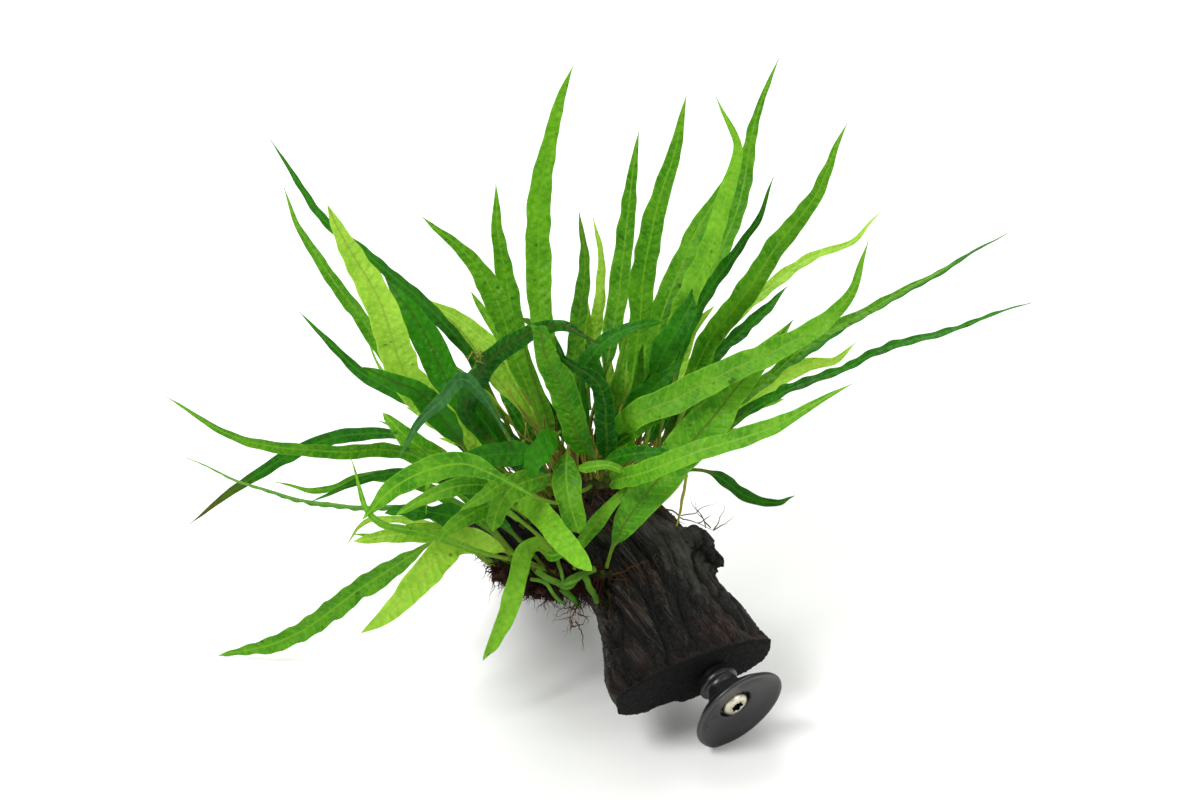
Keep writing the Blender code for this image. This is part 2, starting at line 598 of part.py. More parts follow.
def root_mat():
    """The brown felt of roots under the rhizome's lower left end: a lump, cut clear of their stem."""
    bm = bmesh.new()
    bmesh.ops.create_icosphere(bm, subdivisions=2, radius=1)
    bmesh.ops.scale(bm, vec=ROOT_MAT_SIZE, verts=bm.verts)
    for vert in bm.verts:
        vert.co *= 1 + 0.12 * noise.noise(vert.co / 7)
    bmesh.ops.rotate(bm, matrix=Matrix.Rotation(ROOT_MAT_TILT, 3, "Y"), verts=bm.verts)
    bmesh.ops.translate(bm, vec=from_board(ROOT_MAT_CENTRE), verts=bm.verts)
    mat = add_object("root_mat", bm, parts, root_finish)
    name, radius, places = RHIZOMES[2]
    room = tube_mesh([wood_place(*place) for place in places], radius + ROOT_MAT_ROOM)
    boolean(mat, cutter(f"{name}_room", room), "DIFFERENCE")
    return mat


def plate(name, outline, out, thickness, finish):
    """A flat fan whose outline is given on the board."""
    rings = []
    for depth in (out - thickness / 2, out + thickness / 2):
        rings.append([from_board((across, up, depth)) for across, up in outline])
    return add_object(name, loft(rings), parts, finish, smooth=False)


for old in list(bpy.data.objects):
    bpy.data.objects.remove(old)
parts = bpy.data.collections.new("java_fern_on_driftwood")
helpers = bpy.data.collections.new("helpers")
for made in (parts, helpers):
    bpy.context.scene.collection.children.link(made)
helpers.hide_render = True

wood_finish = material("driftwood", (0.035, 0.018, 0.012), 0.75)
rubber_finish = material("black_rubber", (0.02, 0.02, 0.022), 0.4)
steel_finish = material("stainless_steel", (0.6, 0.58, 0.5), 0.3, 1.0)
root_finish = material("roots", (0.06, 0.025, 0.012), 0.9)
rhizome_finish = material("rhizome", (0.09, 0.16, 0.02), 0.6)
helper_finish = material("helper", (0.8, 0.1, 0.1), 0.5)
frond_finishes = {name: material(f"frond_{name}", colour, 0.45) for name, colour in COLOURS.items()}

driftwood()
suction_cup()
cup_screw()
RHIZOME_RADIUS = {name: radius for name, radius, _ in RHIZOMES}
frond_lines, frond_rows = [], []
for name, radius, chunk_places in RHIZOMES:
    places = [wood_place(*place) for place in chunk_places]
    tube(name, places, radius, rhizome_finish)
    frond_lines += fronds_on(name, places, FRONDS[name])
    frond_rows += FRONDS[name]
for line, row in zip(part_fronds(frond_lines, frond_rows), frond_rows):
    frond(f"frond_{row[0]}", line, row, frond_finishes[row[4]])
root_mat()
plate("wiry_roots", WIRY_ROOTS, WIRY_ROOTS_OUT, 1.2, root_finish)
tube("hanging_roots", [from_board(place) for place in HANGING_ROOTS], 1.3, root_finish, sides=6, ends=0.3)
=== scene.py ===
# %% [markdown]
# # Java fern on driftwood
# A narrow-leaved java fern holds on to a dark chunk of driftwood with its creeping stems and brown roots.
# The wood's sawn end carries a suction cup, so that the whole plant can be fixed to a tank wall. The solid
# model gives every place and size. This lesson grows the fine surfaces over it: one leaf for each solid
# frond, the grain of the wood, the felt of roots, and the small leaves that are too many to be solids.

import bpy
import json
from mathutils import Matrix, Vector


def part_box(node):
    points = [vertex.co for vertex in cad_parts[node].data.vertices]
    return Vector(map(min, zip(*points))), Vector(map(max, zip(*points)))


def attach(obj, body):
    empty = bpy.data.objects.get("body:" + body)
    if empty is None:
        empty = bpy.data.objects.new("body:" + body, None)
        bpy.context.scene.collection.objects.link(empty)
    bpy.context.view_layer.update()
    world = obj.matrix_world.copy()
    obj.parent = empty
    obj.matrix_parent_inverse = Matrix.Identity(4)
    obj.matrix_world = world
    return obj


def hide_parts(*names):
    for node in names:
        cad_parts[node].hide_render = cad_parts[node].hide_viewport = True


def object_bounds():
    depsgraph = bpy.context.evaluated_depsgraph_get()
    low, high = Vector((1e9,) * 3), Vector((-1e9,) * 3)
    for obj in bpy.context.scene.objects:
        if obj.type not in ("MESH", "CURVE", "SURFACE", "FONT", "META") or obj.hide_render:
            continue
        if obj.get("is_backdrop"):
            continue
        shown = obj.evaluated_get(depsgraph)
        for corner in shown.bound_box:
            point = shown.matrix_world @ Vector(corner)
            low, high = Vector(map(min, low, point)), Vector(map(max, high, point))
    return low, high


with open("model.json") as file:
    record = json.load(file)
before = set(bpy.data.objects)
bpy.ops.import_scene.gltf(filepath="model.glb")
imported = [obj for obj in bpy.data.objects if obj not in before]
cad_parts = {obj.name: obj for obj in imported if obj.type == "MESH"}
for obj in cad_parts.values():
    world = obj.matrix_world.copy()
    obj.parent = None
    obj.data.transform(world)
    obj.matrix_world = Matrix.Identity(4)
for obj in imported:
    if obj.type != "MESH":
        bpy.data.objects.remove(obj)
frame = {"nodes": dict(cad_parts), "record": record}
cad_low, cad_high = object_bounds()
print("solid model:", len(frame["nodes"]), "nodes, from", tuple(cad_low), "to", tuple(cad_high))

# %% [markdown]
# Numpy carries the many points of a leaf or a root in one array, which is far quicker than a loop in Python.
# Every length on the plant is in millimetres until a mesh is made, so that sizes read like those of a real
# plant. Only the stage, with its floor, lamps and camera, is in metres.

# %% Tools and units
import json
import math

import bpy
import numpy as np
from mathutils import Vector, noise
from mathutils.bvhtree import BVHTree
from mathutils.kdtree import KDTree

MM = 0.001
LEAN = math.radians(25)  # the plant leans back by this
random = np.random.default_rng(20)
noise.seed_set(20)  # so that vector noise is the same in every run
scene = bpy.context.scene


def unit(vectors):
    """The same directions, each of length one."""
    vectors = np.asarray(vectors, float)
    return vectors / np.maximum(np.linalg.norm(vectors, axis=-1, keepdims=True), 1e-9)


def corners_of(node):
    """The points of a solid node and its triangles, in millimetres, with doubled points made one."""
    mesh = frame["nodes"][node].data
    corners = np.array([vertex.co[:] for vertex in mesh.vertices]) / MM
    places, index = np.unique(np.round(corners, 4), axis=0, return_inverse=True)
    index = index.reshape(-1)
    return places, [tuple(int(index[i]) for i in face.vertices) for face in mesh.polygons]


print("driftwood:", len(corners_of("driftwood")[0]), "points")

# %% [markdown]
# Every piece is made the same way: points and faces in, a smooth-shaded mesh out, riding on the model's one
# body. Numbers that belong to a point, such as how far it is from a leaf's midrib, are kept on the mesh as
# attributes, and the materials read them. That works from every side, and it needs no picture.

# %% A function for one piece
def piece(name, points, faces, finish, slot, stands_for=(), **attributes):
    """A mesh made from points in millimetres; an attribute has one number or one vector for each point."""
    mesh = bpy.data.meshes.new(name)
    mesh.from_pydata((np.asarray(points) * MM).tolist(), [], faces)
    for label, values in attributes.items():
        values = np.asarray(values, np.float32)
        kind, field = ("FLOAT", "value") if values.ndim == 1 else ("FLOAT_VECTOR", "vector")
        mesh.attributes.new(label, kind, "POINT").data.foreach_set(field, values.ravel())
    mesh.materials.append(finish)
    mesh.validate()
    mesh.shade_smooth()
    made = bpy.data.objects.new(name, mesh)
    scene.collection.objects.link(made)
    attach(made, "root")
    if stands_for:
        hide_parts(*stands_for)
    return made


def ring_faces(rings, around, first=0):
    """Quads between neighbouring rings of a tube whose rings hold `around` points each."""
    ring, step = np.meshgrid(np.arange(rings - 1), np.arange(around), indexing="ij")
    here, ahead = first + ring * around, first + (ring + 1) * around
    after = (step + 1) % around
    return np.stack([here + step, here + after, ahead + after, ahead + step], axis=-1).reshape(-1, 4).tolist()


print("faces of a short tube:", len(ring_faces(3, 8)))

# %% [markdown]
# Colours are written as the hex values of a paint chart. Blender calculates with linear light, so one
# function turns the first into the second. Another one adds a shader node, and all materials are built with
# it.

# %% Colours and shader nodes
def linear(chart):
    """An sRGB hex colour as linear light."""
    shares = [int(chart[i : i + 2], 16) / 255 for i in (1, 3, 5)]
    return (*(s / 12.92 if s <= 0.04045 else ((s + 0.055) / 1.055) ** 2.4 for s in shares), 1.0)


def add(tree, kind, sockets=None, **settings):
    """One shader node. A socket takes a value, an output to link, or a node whose first output is linked."""
    made = tree.nodes.new("ShaderNode" + kind)
    for label, value in settings.items():
        setattr(made, label, value)
    for label, value in (sockets or {}).items():
        if isinstance(value, bpy.types.Node):
            value = value.outputs[0]
        if isinstance(value, bpy.types.NodeSocket):
            tree.links.new(value, made.inputs[label])
        else:
            made.inputs[label].default_value = value
    return made


def new_finish(name):
    """An empty material and its node tree."""
    finish = bpy.data.materials.new(name)
    finish.use_nodes = True
    finish.node_tree.nodes.clear()
    return finish, finish.node_tree


def coated(tree, ground, coats):
    """A ground colour with coats of colour over it, each with the share that it covers."""
    for share, colour in coats:
        ground = add(tree, "MixRGB", {"Fac": share, "Color1": ground, "Color2": colour})
    return ground


print("mid leaf green in linear light:", [round(c, 3) for c in linear("#43A51C")])

# %% [markdown]
# A fern leaf is a thin sheet of wet-looking green tissue. Light falls on it and also passes through it, so
# its shader mixes a satin surface with a translucent one. The colour is built in coats, from the broadest
# change to the finest: patches of older and younger tissue, painted light and shade that lighten some whole
# leaves and darken others, side veins, a painted highlight along the margin, specks and the midrib.

# %% Leaf tissue
LEAF_TONES = {  # old tissue, young tissue, and the light that shines through
    "frond_pale": ("#79B424", "#C2E65C", "#D2F24A"),
    "frond_bright": ("#3E8A12", "#92CC36", "#96DE20"),
    "frond_mid": ("#2E780A", "#84C02A", "#78D414"),
    "frond_deep": ("#0E4A02", "#3E960E", "#34AC06"),
    "frond_teal": ("#1A5C26", "#5E9E56", "#4CB43A"),
}
VEIN_SPACING = 4.2
VEIN_SLANT = 0.8  # how far a side vein climbs for each millimetre away from the midrib
CELL_SIZE = 2.3  # of the puffed cells between the finest veins


def leaf_finish(slot):
    """Fern leaf, living tissue: satin above, translucent, quilted between its side veins."""
    finish, tree = new_finish("leaf_tissue_" + slot[6:])
    old, young, glow = (linear(chart) for chart in LEAF_TONES[slot])
    across, along, half, shade, brown, stalk, dry = (
        add(tree, "Attribute", attribute_name=label).outputs["Fac"]
        for label in ("across", "along", "half", "shade", "rib", "stalk", "dry")
    )
    place = add(tree, "TexCoord").outputs["Object"]
    patches, mottle, blotch = (
        add(tree, "TexNoise", {"Vector": place, "Scale": 1 / (size * MM), "Detail": detail})
        for size, detail in ((11, 3.0), (1.6, 2.0), (3.5, 1.0))
    )
    net = {"Vector": place, "Scale": 1 / (CELL_SIZE * MM), "Smoothness": 0.35}
    cells = add(tree, "TexVoronoi", net, feature="SMOOTH_F1")
    off_rib = add(tree, "Math", {0: across}, operation="ABSOLUTE")
    reach = add(tree, "Math", {0: off_rib, 1: half}, operation="MULTIPLY")
    slant = add(tree, "Math", {0: reach, 1: -VEIN_SLANT, 2: along}, operation="MULTIPLY_ADD")
    order = add(tree, "Math", {0: slant, 1: 1 / VEIN_SPACING}, operation="MULTIPLY")
    between = add(tree, "Math", {0: order, 1: 0.5}, operation="PINGPONG")
    vein = add(tree, "MapRange", {0: between, 2: 0.11, 3: 0.35, 4: 0.0}, interpolation_type="SMOOTHSTEP")
    rib = add(tree, "MapRange", {0: reach, 1: 0.1, 2: 0.55, 3: 1.0, 4: 0.0}, interpolation_type="SMOOTHSTEP")
    # Painted highlight: the margin is lighter, like an edge that curls up into the light.
    margin = add(tree, "MapRange", {0: off_rib, 1: 0.86, 2: 1.0, 4: 0.5})
    aged = add(tree, "MapRange", {0: patches, 1: 0.32, 2: 0.68})
    # Older and younger tissue in patches, then painted light and shade over each whole leaf.
    lighter = add(tree, "Math", {0: aged, 1: 0.55, 2: shade}, operation="MULTIPLY_ADD")
    speckle = add(tree, "MapRange", {0: mottle, 1: 0.5, 2: 0.7, 4: 0.4})
    areole = add(tree, "MapRange", {0: cells, 1: 0.25, 2: 0.7, 4: 0.35})
    speck = add(tree, "MapRange", {0: blotch, 1: 0.71, 2: 0.76, 4: 0.75})
    tint = coated(tree, old, [
        (lighter, young),
        (areole, old),
        (speckle, young),
        (vein, young),
        (margin, young),
        (speck, linear("#3F5A1C")),
        (rib, coated(tree, young, [(brown, linear("#4A2A14"))])),
        (stalk, linear("#7E9430")),
        (dry, linear("#6B4A22")),
    ])
    puffed = add(tree, "Math", {0: cells, 1: -1.5, 2: mottle}, operation="MULTIPLY_ADD")
    quilt = add(tree, "Math", {0: between, 1: 1.2, 2: puffed}, operation="MULTIPLY_ADD")
    bump = add(tree, "Bump", {"Height": quilt, "Distance": 0.5 * MM, "Strength": 0.65})
    gloss = add(tree, "MapRange", {0: mottle, 1: 0.3, 2: 0.7, 3: 0.34, 4: 0.5})
    skin = {"Base Color": tint, "Roughness": gloss, "Normal": bump, "IOR": 1.42, "Specular IOR Level": 0.22}
    satin = add(tree, "BsdfPrincipled", skin)
    shine = add(tree, "BsdfTranslucent", {"Color": coated(tree, tint, [(0.55, glow)]), "Normal": bump})
    both = add(tree, "MixShader", {"Fac": 0.42, 1: satin, 2: shine})
    add(tree, "OutputMaterial", {"Surface": both})
    return finish


leaf_finishes = {slot: leaf_finish(slot) for slot in LEAF_TONES}
print("leaf finishes:", ", ".join(leaf_finishes))

# %% [markdown]
# The stage is plain: a pale floor, a pale sky all round, and three large soft lamps. The biggest one stands
# behind and above the plant, because leaves look alive when some light comes through them. The camera looks
# down on the plant by 25 degrees from more than a metre away, with a long lens, so that near leaves aren't
# swollen.

# %% Floor, light and camera
FLOOR_REACH = 4  # metres each way
CAMERA_PLACE = Vector((0.0004, -1.0272, 0.5965))
CAMERA_AIM = Vector((0.0004, -0.0004, 0.1177))
LENS = 85
LAMP_AIM = Vector((0, 0, 0.1))
LAMPS = {  # place, width and watts
    "back_softbox": ((-0.25, 0.75, 1.15), 1.0, 14),
    "key_softbox": ((-0.7, -0.7, 1.1), 0.5, 15),
    "fill_softbox": ((0.9, -0.8, 0.6), 0.9, 4),
}


def painted_board():
    """Board with matt white paint: a faint grit in its colour, and no gloss."""
    finish, tree = new_finish("painted_floor")
    grit = add(tree, "TexNoise", {"Scale": 1 / (4 * MM), "Detail": 4.0})
    paint = coated(tree, linear("#F2F2F0"), [(grit, linear("#F8F8F6"))])
    skin = add(tree, "BsdfPrincipled", {"Base Color": paint, "Roughness": 0.7})
    add(tree, "OutputMaterial", {"Surface": skin})
    return finish


floor_mesh = bpy.data.meshes.new("floor")
corners = [(x * FLOOR_REACH, y * FLOOR_REACH, 0) for x, y in ((-1, -1), (1, -1), (1, 1), (-1, 1))]
floor_mesh.from_pydata(corners, [], [(0, 1, 2, 3)])
floor_mesh.materials.append(painted_board())
floor = bpy.data.objects.new("floor", floor_mesh)
scene.collection.objects.link(floor)
floor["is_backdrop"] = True

sky = bpy.data.worlds.new("studio")
sky.use_nodes = True
backdrop = sky.node_tree.nodes["Background"]
backdrop.inputs["Color"].default_value = linear("#FFFFFF")
backdrop.inputs["Strength"].default_value = 0.5
scene.world = sky

for name, (place, width, watts) in LAMPS.items():
    lamp = bpy.data.objects.new(name, bpy.data.lights.new(name, "AREA"))
    lamp.data.size = width
    lamp.data.energy = watts
    lamp.location = place
    lamp.rotation_euler = (LAMP_AIM - lamp.location).to_track_quat("-Z", "Y").to_euler()
    scene.collection.objects.link(lamp)

camera = bpy.data.objects.new("camera", bpy.data.cameras.new("camera"))
camera.data.lens = LENS
camera.location = CAMERA_PLACE
camera.rotation_euler = (CAMERA_AIM - CAMERA_PLACE).to_track_quat("-Z", "Y").to_euler()
scene.collection.objects.link(camera)
scene.camera = camera
scene.view_settings.view_transform = "Standard"
print("camera:", round((CAMERA_AIM - CAMERA_PLACE).length, 3), "m from the plant")

# %% [markdown]
# A solid frond is a thin four-sided spindle. Its mesh is a row of diamond-shaped rings that ends in one
# point, so walking over the mesh from that point gives back the rings. Their middles are the frond's line,
# and the longer diagonal is the width of its blade. The fine leaf then follows the solid exactly, wherever
# it bends.

# %% Read a solid frond
def diagonals(ring):
    """The two diagonals of a four-cornered ring: the pairing whose middles meet."""
    pairings = (((0, 1), (2, 3)), ((0, 2), (1, 3)), ((0, 3), (1, 2)))
    apart = [np.linalg.norm(ring[list(one)].mean(0) - ring[list(two)].mean(0)) for one, two in pairings]
    return [ring[a] - ring[b] for a, b in pairings[int(np.argmin(apart))]]


def read_frond(node):
    """The middles, width directions and half widths of a frond, foot to tip."""
    places, faces = corners_of(node)
    touching = [set() for _ in places]
    for a, b, c in faces:
        touching[a] |= {b, c}
        touching[b] |= {a, c}
        touching[c] |= {a, b}
    for apex in range(len(places)):
        seen, level, rings = {apex}, touching[apex], []
        while len(level) == 4:
            rings.append(places[sorted(level)])
            seen = seen | level
            level = set().union(*(touching[i] for i in level)) - seen
        if len(seen) == len(places):
            break
    middles, sides, halves = [places[apex]], [], [0.0]
    for ring in rings:
        long, short = sorted(diagonals(ring), key=np.linalg.norm, reverse=True)
        if sides:
            both = [d * np.sign(d @ sides[-1]) for d in (long, short)]
            rounder = np.linalg.norm(long) < 1.4 * np.linalg.norm(short)
            long = max(both, key=lambda d: unit(d) @ sides[-1]) if rounder else both[0]
        sides.append(unit(long))
        middles.append(ring.mean(0))
        halves.append(np.linalg.norm(long) / 2)
    return np.array(middles[::-1]), np.array([*sides[::-1], sides[0]]), np.array(halves[::-1])


def smooth_rows(rows, count):
    """`count` rows on a smooth curve through the given rows, evenly spaced in their first three columns."""
    rows = np.asarray(rows, float)
    knots = np.concatenate([[0], np.cumsum(np.linalg.norm(np.diff(rows[:, :3], axis=0), axis=1))])
    slopes = np.gradient(rows, knots, axis=0)
    at = np.linspace(0, knots[-1], count)
    index = np.clip(np.searchsorted(knots, at, side="right") - 1, 0, len(knots) - 2)
    span = (knots[index + 1] - knots[index])[:, None]
    t = (at - knots[index])[:, None] / span
    return (
        rows[index] * (2 * t**3 - 3 * t**2 + 1)
        + slopes[index] * span * (t**3 - 2 * t**2 + t)
        + rows[index + 1] * (3 * t**2 - 2 * t**3)
        + slopes[index + 1] * span * (t**3 - t**2)
    )


middles, sides, halves = read_frond("frond_upright_left")
print("upright_left:", len(middles), "places, widest", round(2 * halves.max(), 1), "mm")

# %% [markdown]
# A leaf is one closed skin: its upper face, its lower face and two thin margins, a third of a millimetre
# thick. Each cross-section is a ring of points. On the stalk the ring is a circle, and it opens into the
# blade over a few millimetres. The blade is channelled along its midrib, its tissue puffs up between the
# side veins, and its margins run in waves, each on its own side, as in the real plant.

# %% The cross-sections of a leaf
ACROSS_STEPS = 6  # from midrib to margin
SECTION_STEP = 1.3  # between two cross-sections, of which a leaf has a fewest and a most
FEWEST, MOST = 26, 120
LEAF_THICKNESS = 0.36
STALK_RADIUS = 0.75
FRONT = np.array((0, -math.cos(LEAN), math.sin(LEAN)))  # the way the plant faces
HABIT = {
    "wave": 0.55,  # height of the margin's waves, and how far apart they are
    "pitch": 15.0,
    "channel": 0.22,  # how far the margins stand over the midrib, as a share of the half width
    "notch": 0.08,  # raggedness of the margin
    "stray": 1.0,  # how far the leaf strays from its line
    "blunt": 0.0,  # extra width near the tip
    "rib": 0.15,  # brown in the midrib, withered tissue at the tip, and painted light and shade: the whole leaf lighter above zero, darker below
    "dry": 0.0,
    "shade": 0.0,
}
PUFF = 0.28  # how high the tissue stands between two side veins
KEEL = 0.55  # how far the midrib stands out below
TURN = np.linspace(0, 2 * np.pi, 4 * ACROSS_STEPS, endpoint=False)
SPOT = np.sign(np.cos(TURN)) * np.abs(np.cos(TURN)) ** 0.8  # -1 and 1 at the margins, 0 on the midrib
OUT = np.abs(SPOT)
FACE = np.sign(np.round(np.sin(TURN), 6))  # 1 above, -1 below, 0 on the margins


def sections(habit, along, half, blade, seed):
    """The rings of a leaf: how far each point stands across it and over it."""
    own = np.array([[noise.noise((far / 7, side * 9, seed)) for side in (0, 1)] for far in along])
    own = own[:, (SPOT > 0).astype(int)]  # each side of the blade has waves of its own
    along, half, blade = along[:, None], half[:, None], blade[:, None]
    tall = np.minimum(1.0, half / 3.0)
    phase = 2 * np.pi * along / habit["pitch"]
    ripple = np.where(SPOT > 0, np.sin(phase + seed), np.sin(1.17 * phase + 2.1 + seed))
    margin = habit["wave"] * tall * (ripple * (0.6 + 0.8 * np.abs(own)) + own) * OUT**2.2
    order = (along - VEIN_SLANT * OUT * half) / VEIN_SPACING
    puff = PUFF * tall * np.abs(np.sin(np.pi * order)) * (1 - OUT**3) * OUT**0.4
    channel = habit["channel"] * half * OUT**1.4
    skin = LEAF_THICKNESS / 2 * FACE * (1 - 0.6 * OUT)
    keel = np.where(FACE < 0, -KEEL * np.minimum(1, half / 2.5) * np.exp(-((SPOT * half / 0.5) ** 2)), 0)
    reach = half * SPOT * (1 + habit["notch"] * own * 2)
    stalk = np.minimum(STALK_RADIUS, half) * (1 - blade)
    height = margin + puff + channel + skin + keel
    return np.cos(TURN) * stalk + reach * blade, np.sin(TURN) * stalk + height * blade


print("points in one cross-section:", len(TURN))

# %% One leaf
def leaf(name, middles, sides, halves, slot, stands_for=(), **changes):
    """The fine leaf along a frond's line. `changes` gives what this leaf does otherwise than HABIT."""
    habit = HABIT | changes
    length = np.linalg.norm(np.diff(middles, axis=0), axis=1).sum()
    count = int(np.clip(length / SECTION_STEP, FEWEST, MOST))
    rows = smooth_rows(np.hstack([middles, sides, halves[:, None]]), count)
    line, half = rows[:, :3], np.maximum(rows[:, 6], 0.12)
    ahead = unit(np.gradient(line, axis=0))
    wide = unit(rows[:, 3:6] - ahead * np.sum(rows[:, 3:6] * ahead, axis=1)[:, None])
    over = np.cross(wide, ahead)
    over *= np.sign(np.sum(over * (FRONT + (0, 0, 0.4)), axis=1).mean() or 1)
    share = np.linspace(0, 1, count)
    along = share * length
    seed = random.uniform(0, 1000)
    strays = np.array([[noise.noise((s / 26, way, seed)) for way in (0, 9, 18)] for s in along])
    freed = np.clip(share / 0.15, 0, 1)[:, None] * min(1.0, length / 60)
    line = line + freed * habit["stray"] * (wide * strays[:, :1] + over * strays[:, 1:2] * 1.8)
    half = half * (1 + 0.16 * strays[:, 2])
    fuller = np.clip((share - 0.5) / 0.35, 0, 1) * np.clip((1 - share) / 0.07, 0, 1) ** 0.5
    half = half + habit["blunt"] * half.max() * fuller
    blade = np.where(share > 0.5, 1.0, np.clip((half - 1.05) / 1.3, 0, 1) ** 0.7)
    far_across, far_over = sections(habit, along, half, blade, seed)
    grown = line[:, None] + wide[:, None] * far_across[..., None] + over[:, None] * far_over[..., None]
    around = len(TURN)
    points = np.vstack([grown.reshape(-1, 3), line[-1] + ahead[-1] * 0.3, line[0]])
    faces = ring_faces(count, around)
    last, tip, foot = (count - 1) * around, count * around, count * around + 1
    faces += [(last + i, last + (i + 1) % around, tip) for i in range(around)]
    faces += [((i + 1) % around, i, foot) for i in range(around)]

    def everywhere(values, end):
        return np.append(np.repeat(values, around), [end, values[0]])

    withered = habit["dry"] * np.clip((share - 0.8) / 0.2, 0, 1) ** 0.6
    return piece(
        name, points, faces, leaf_finishes[slot], slot, stands_for,
        across=np.append(np.tile(SPOT, count), [0, 0]),
        along=everywhere(along, length),
        half=everywhere(half, 0.1),
        # Painted light and shade over the whole leaf, a little lighter towards the tip.
        shade=everywhere(habit["shade"] + 0.25 * share, habit["shade"] + 0.25),
        rib=np.full(len(points), habit["rib"]),
        stalk=everywhere((1 - blade) * 0.8, 0.0),
        dry=everywhere(withered, habit["dry"]),
    )


print("a leaf has", FEWEST, "to", MOST, "cross-sections")

# %% [markdown]
# Driftwood is bog wood: waterlogged for years, nearly black, with the soft grain washed out between hard
# ridges. The solid is remeshed to even millimetre squares, and each point then moves in or out by noise
# that is stretched along the grain. The sawn face and the flat foot stay flat. How deep each point sank is
# kept as an attribute, so that painted shade can make the hollows darker than the ridges.

# %% The wood's own directions
rim = next(mount for mount in frame["record"]["mounts"] if mount["name"] == "suction_lip")
ALONG = unit([-c for c in rim["axis"]])  # from the sawn face up the chunk
ACROSS = unit((ALONG[1], -ALONG[0], 0))
UPWARD = np.cross(ACROSS, ALONG)
lip = np.array(rim["pos_m"]) / MM  # a place on the cup's rim
axis = corners_of("cup_screw")[0].mean(0)  # a turned piece is balanced about its axis
LIP = axis + ALONG * ((lip - axis) @ ALONG)  # the middle of the rim's plane
CUP_HEIGHT = 20.0
SEAT = LIP + ALONG * CUP_HEIGHT  # where the cup's axis meets the sawn face
GRAIN = np.array((ACROSS, UPWARD, ALONG))
print("grain runs along", ALONG.round(3))

# %% Carve the grain
VOXEL = 1.05
SAWN_FLAT = 0.6  # the sawn face reaches this far into the chunk
SAWN_DEPTH = 0.9  # and its dark colour this far
WOOD_HOLES = [  # place on the chunk (across, up, along), radius and depth
    ((-9, 14, 27), 1.6, 3.0), ((-13, 15, 20), 1.1, 2.2), ((2, 17, 33), 1.0, 2.0), ((-20, 13, 36), 1.3, 2.4),
    ((14, 16, 47), 1.8, 3.0), ((24, 12, 22), 1.2, 2.0), ((-4, 18, 60), 2.0, 3.0), ((-29, 8, 12), 1.5, 2.5),
]


def ridged(place):
    """Noise with sharp crests, 0 in the flats and 1 on the crests."""
    return 1 - min(1.0, abs(noise.noise(place)) * 3.2)


def remeshed(node, voxel):
    """The points, normals and faces of a solid node after an even remesh."""
    places, faces = corners_of(node)
    mesh = bpy.data.meshes.new("rough")
    mesh.from_pydata((places * MM).tolist(), [], faces)
    rough = bpy.data.objects.new("rough", mesh)
    scene.collection.objects.link(rough)
    even = rough.modifiers.new("even", "REMESH")
    even.mode = "VOXEL"
    even.voxel_size = voxel * MM
    done = rough.evaluated_get(bpy.context.evaluated_depsgraph_get()).to_mesh()
    points = np.array([vertex.co[:] for vertex in done.vertices]) / MM
    normals = np.array([vertex.normal[:] for vertex in done.vertices])
    faces = [tuple(face.vertices) for face in done.polygons]
    bpy.data.objects.remove(rough)
    return points, normals, faces


points, normals, faces = remeshed("driftwood", VOXEL)
chunk = (points - SEAT) @ GRAIN.T  # each point in the wood's own directions: across, up, along
fromsaw = chunk[:, 2]
carved = np.empty(len(points))
for number, (x, y, z) in enumerate(chunk):
    deep = ridged((x / 10, y / 10, z / 75))
    fine = ridged((x / 3.4 + 9, y / 3.4, z / 34))
    thread = ridged((x / 1.5, y / 1.5 + 5, z / 16))
    lump = noise.noise((x / 22, y / 22, z / 30 + 4))
    carved[number] = -2.8 * deep**3 - 1.6 * fine**2 - 0.6 * thread + 1.5 * lump + 0.4
for place, radius, depth in WOOD_HOLES:
    away = np.linalg.norm(chunk - place, axis=1) / (radius * 1.6)
    carved -= depth * np.exp(-(away**4))
carved *= np.clip((fromsaw - SAWN_FLAT) / 3.0, 0, 1) * np.clip((points[:, 2] - 1.0) / 2.5, 0, 1)
saw_marks = np.array([0.12 * noise.noise((x / 1.2, y / 30, 3)) for x, y, z in chunk])
carved += np.where(fromsaw < SAWN_FLAT, saw_marks, 0)
points = points + normals * carved[:, None]
points[:, 2] = np.maximum(points[:, 2], 0.0)
print("driftwood:", len(points), "points, carved", carved.min().round(1), "to", carved.max().round(1), "mm")
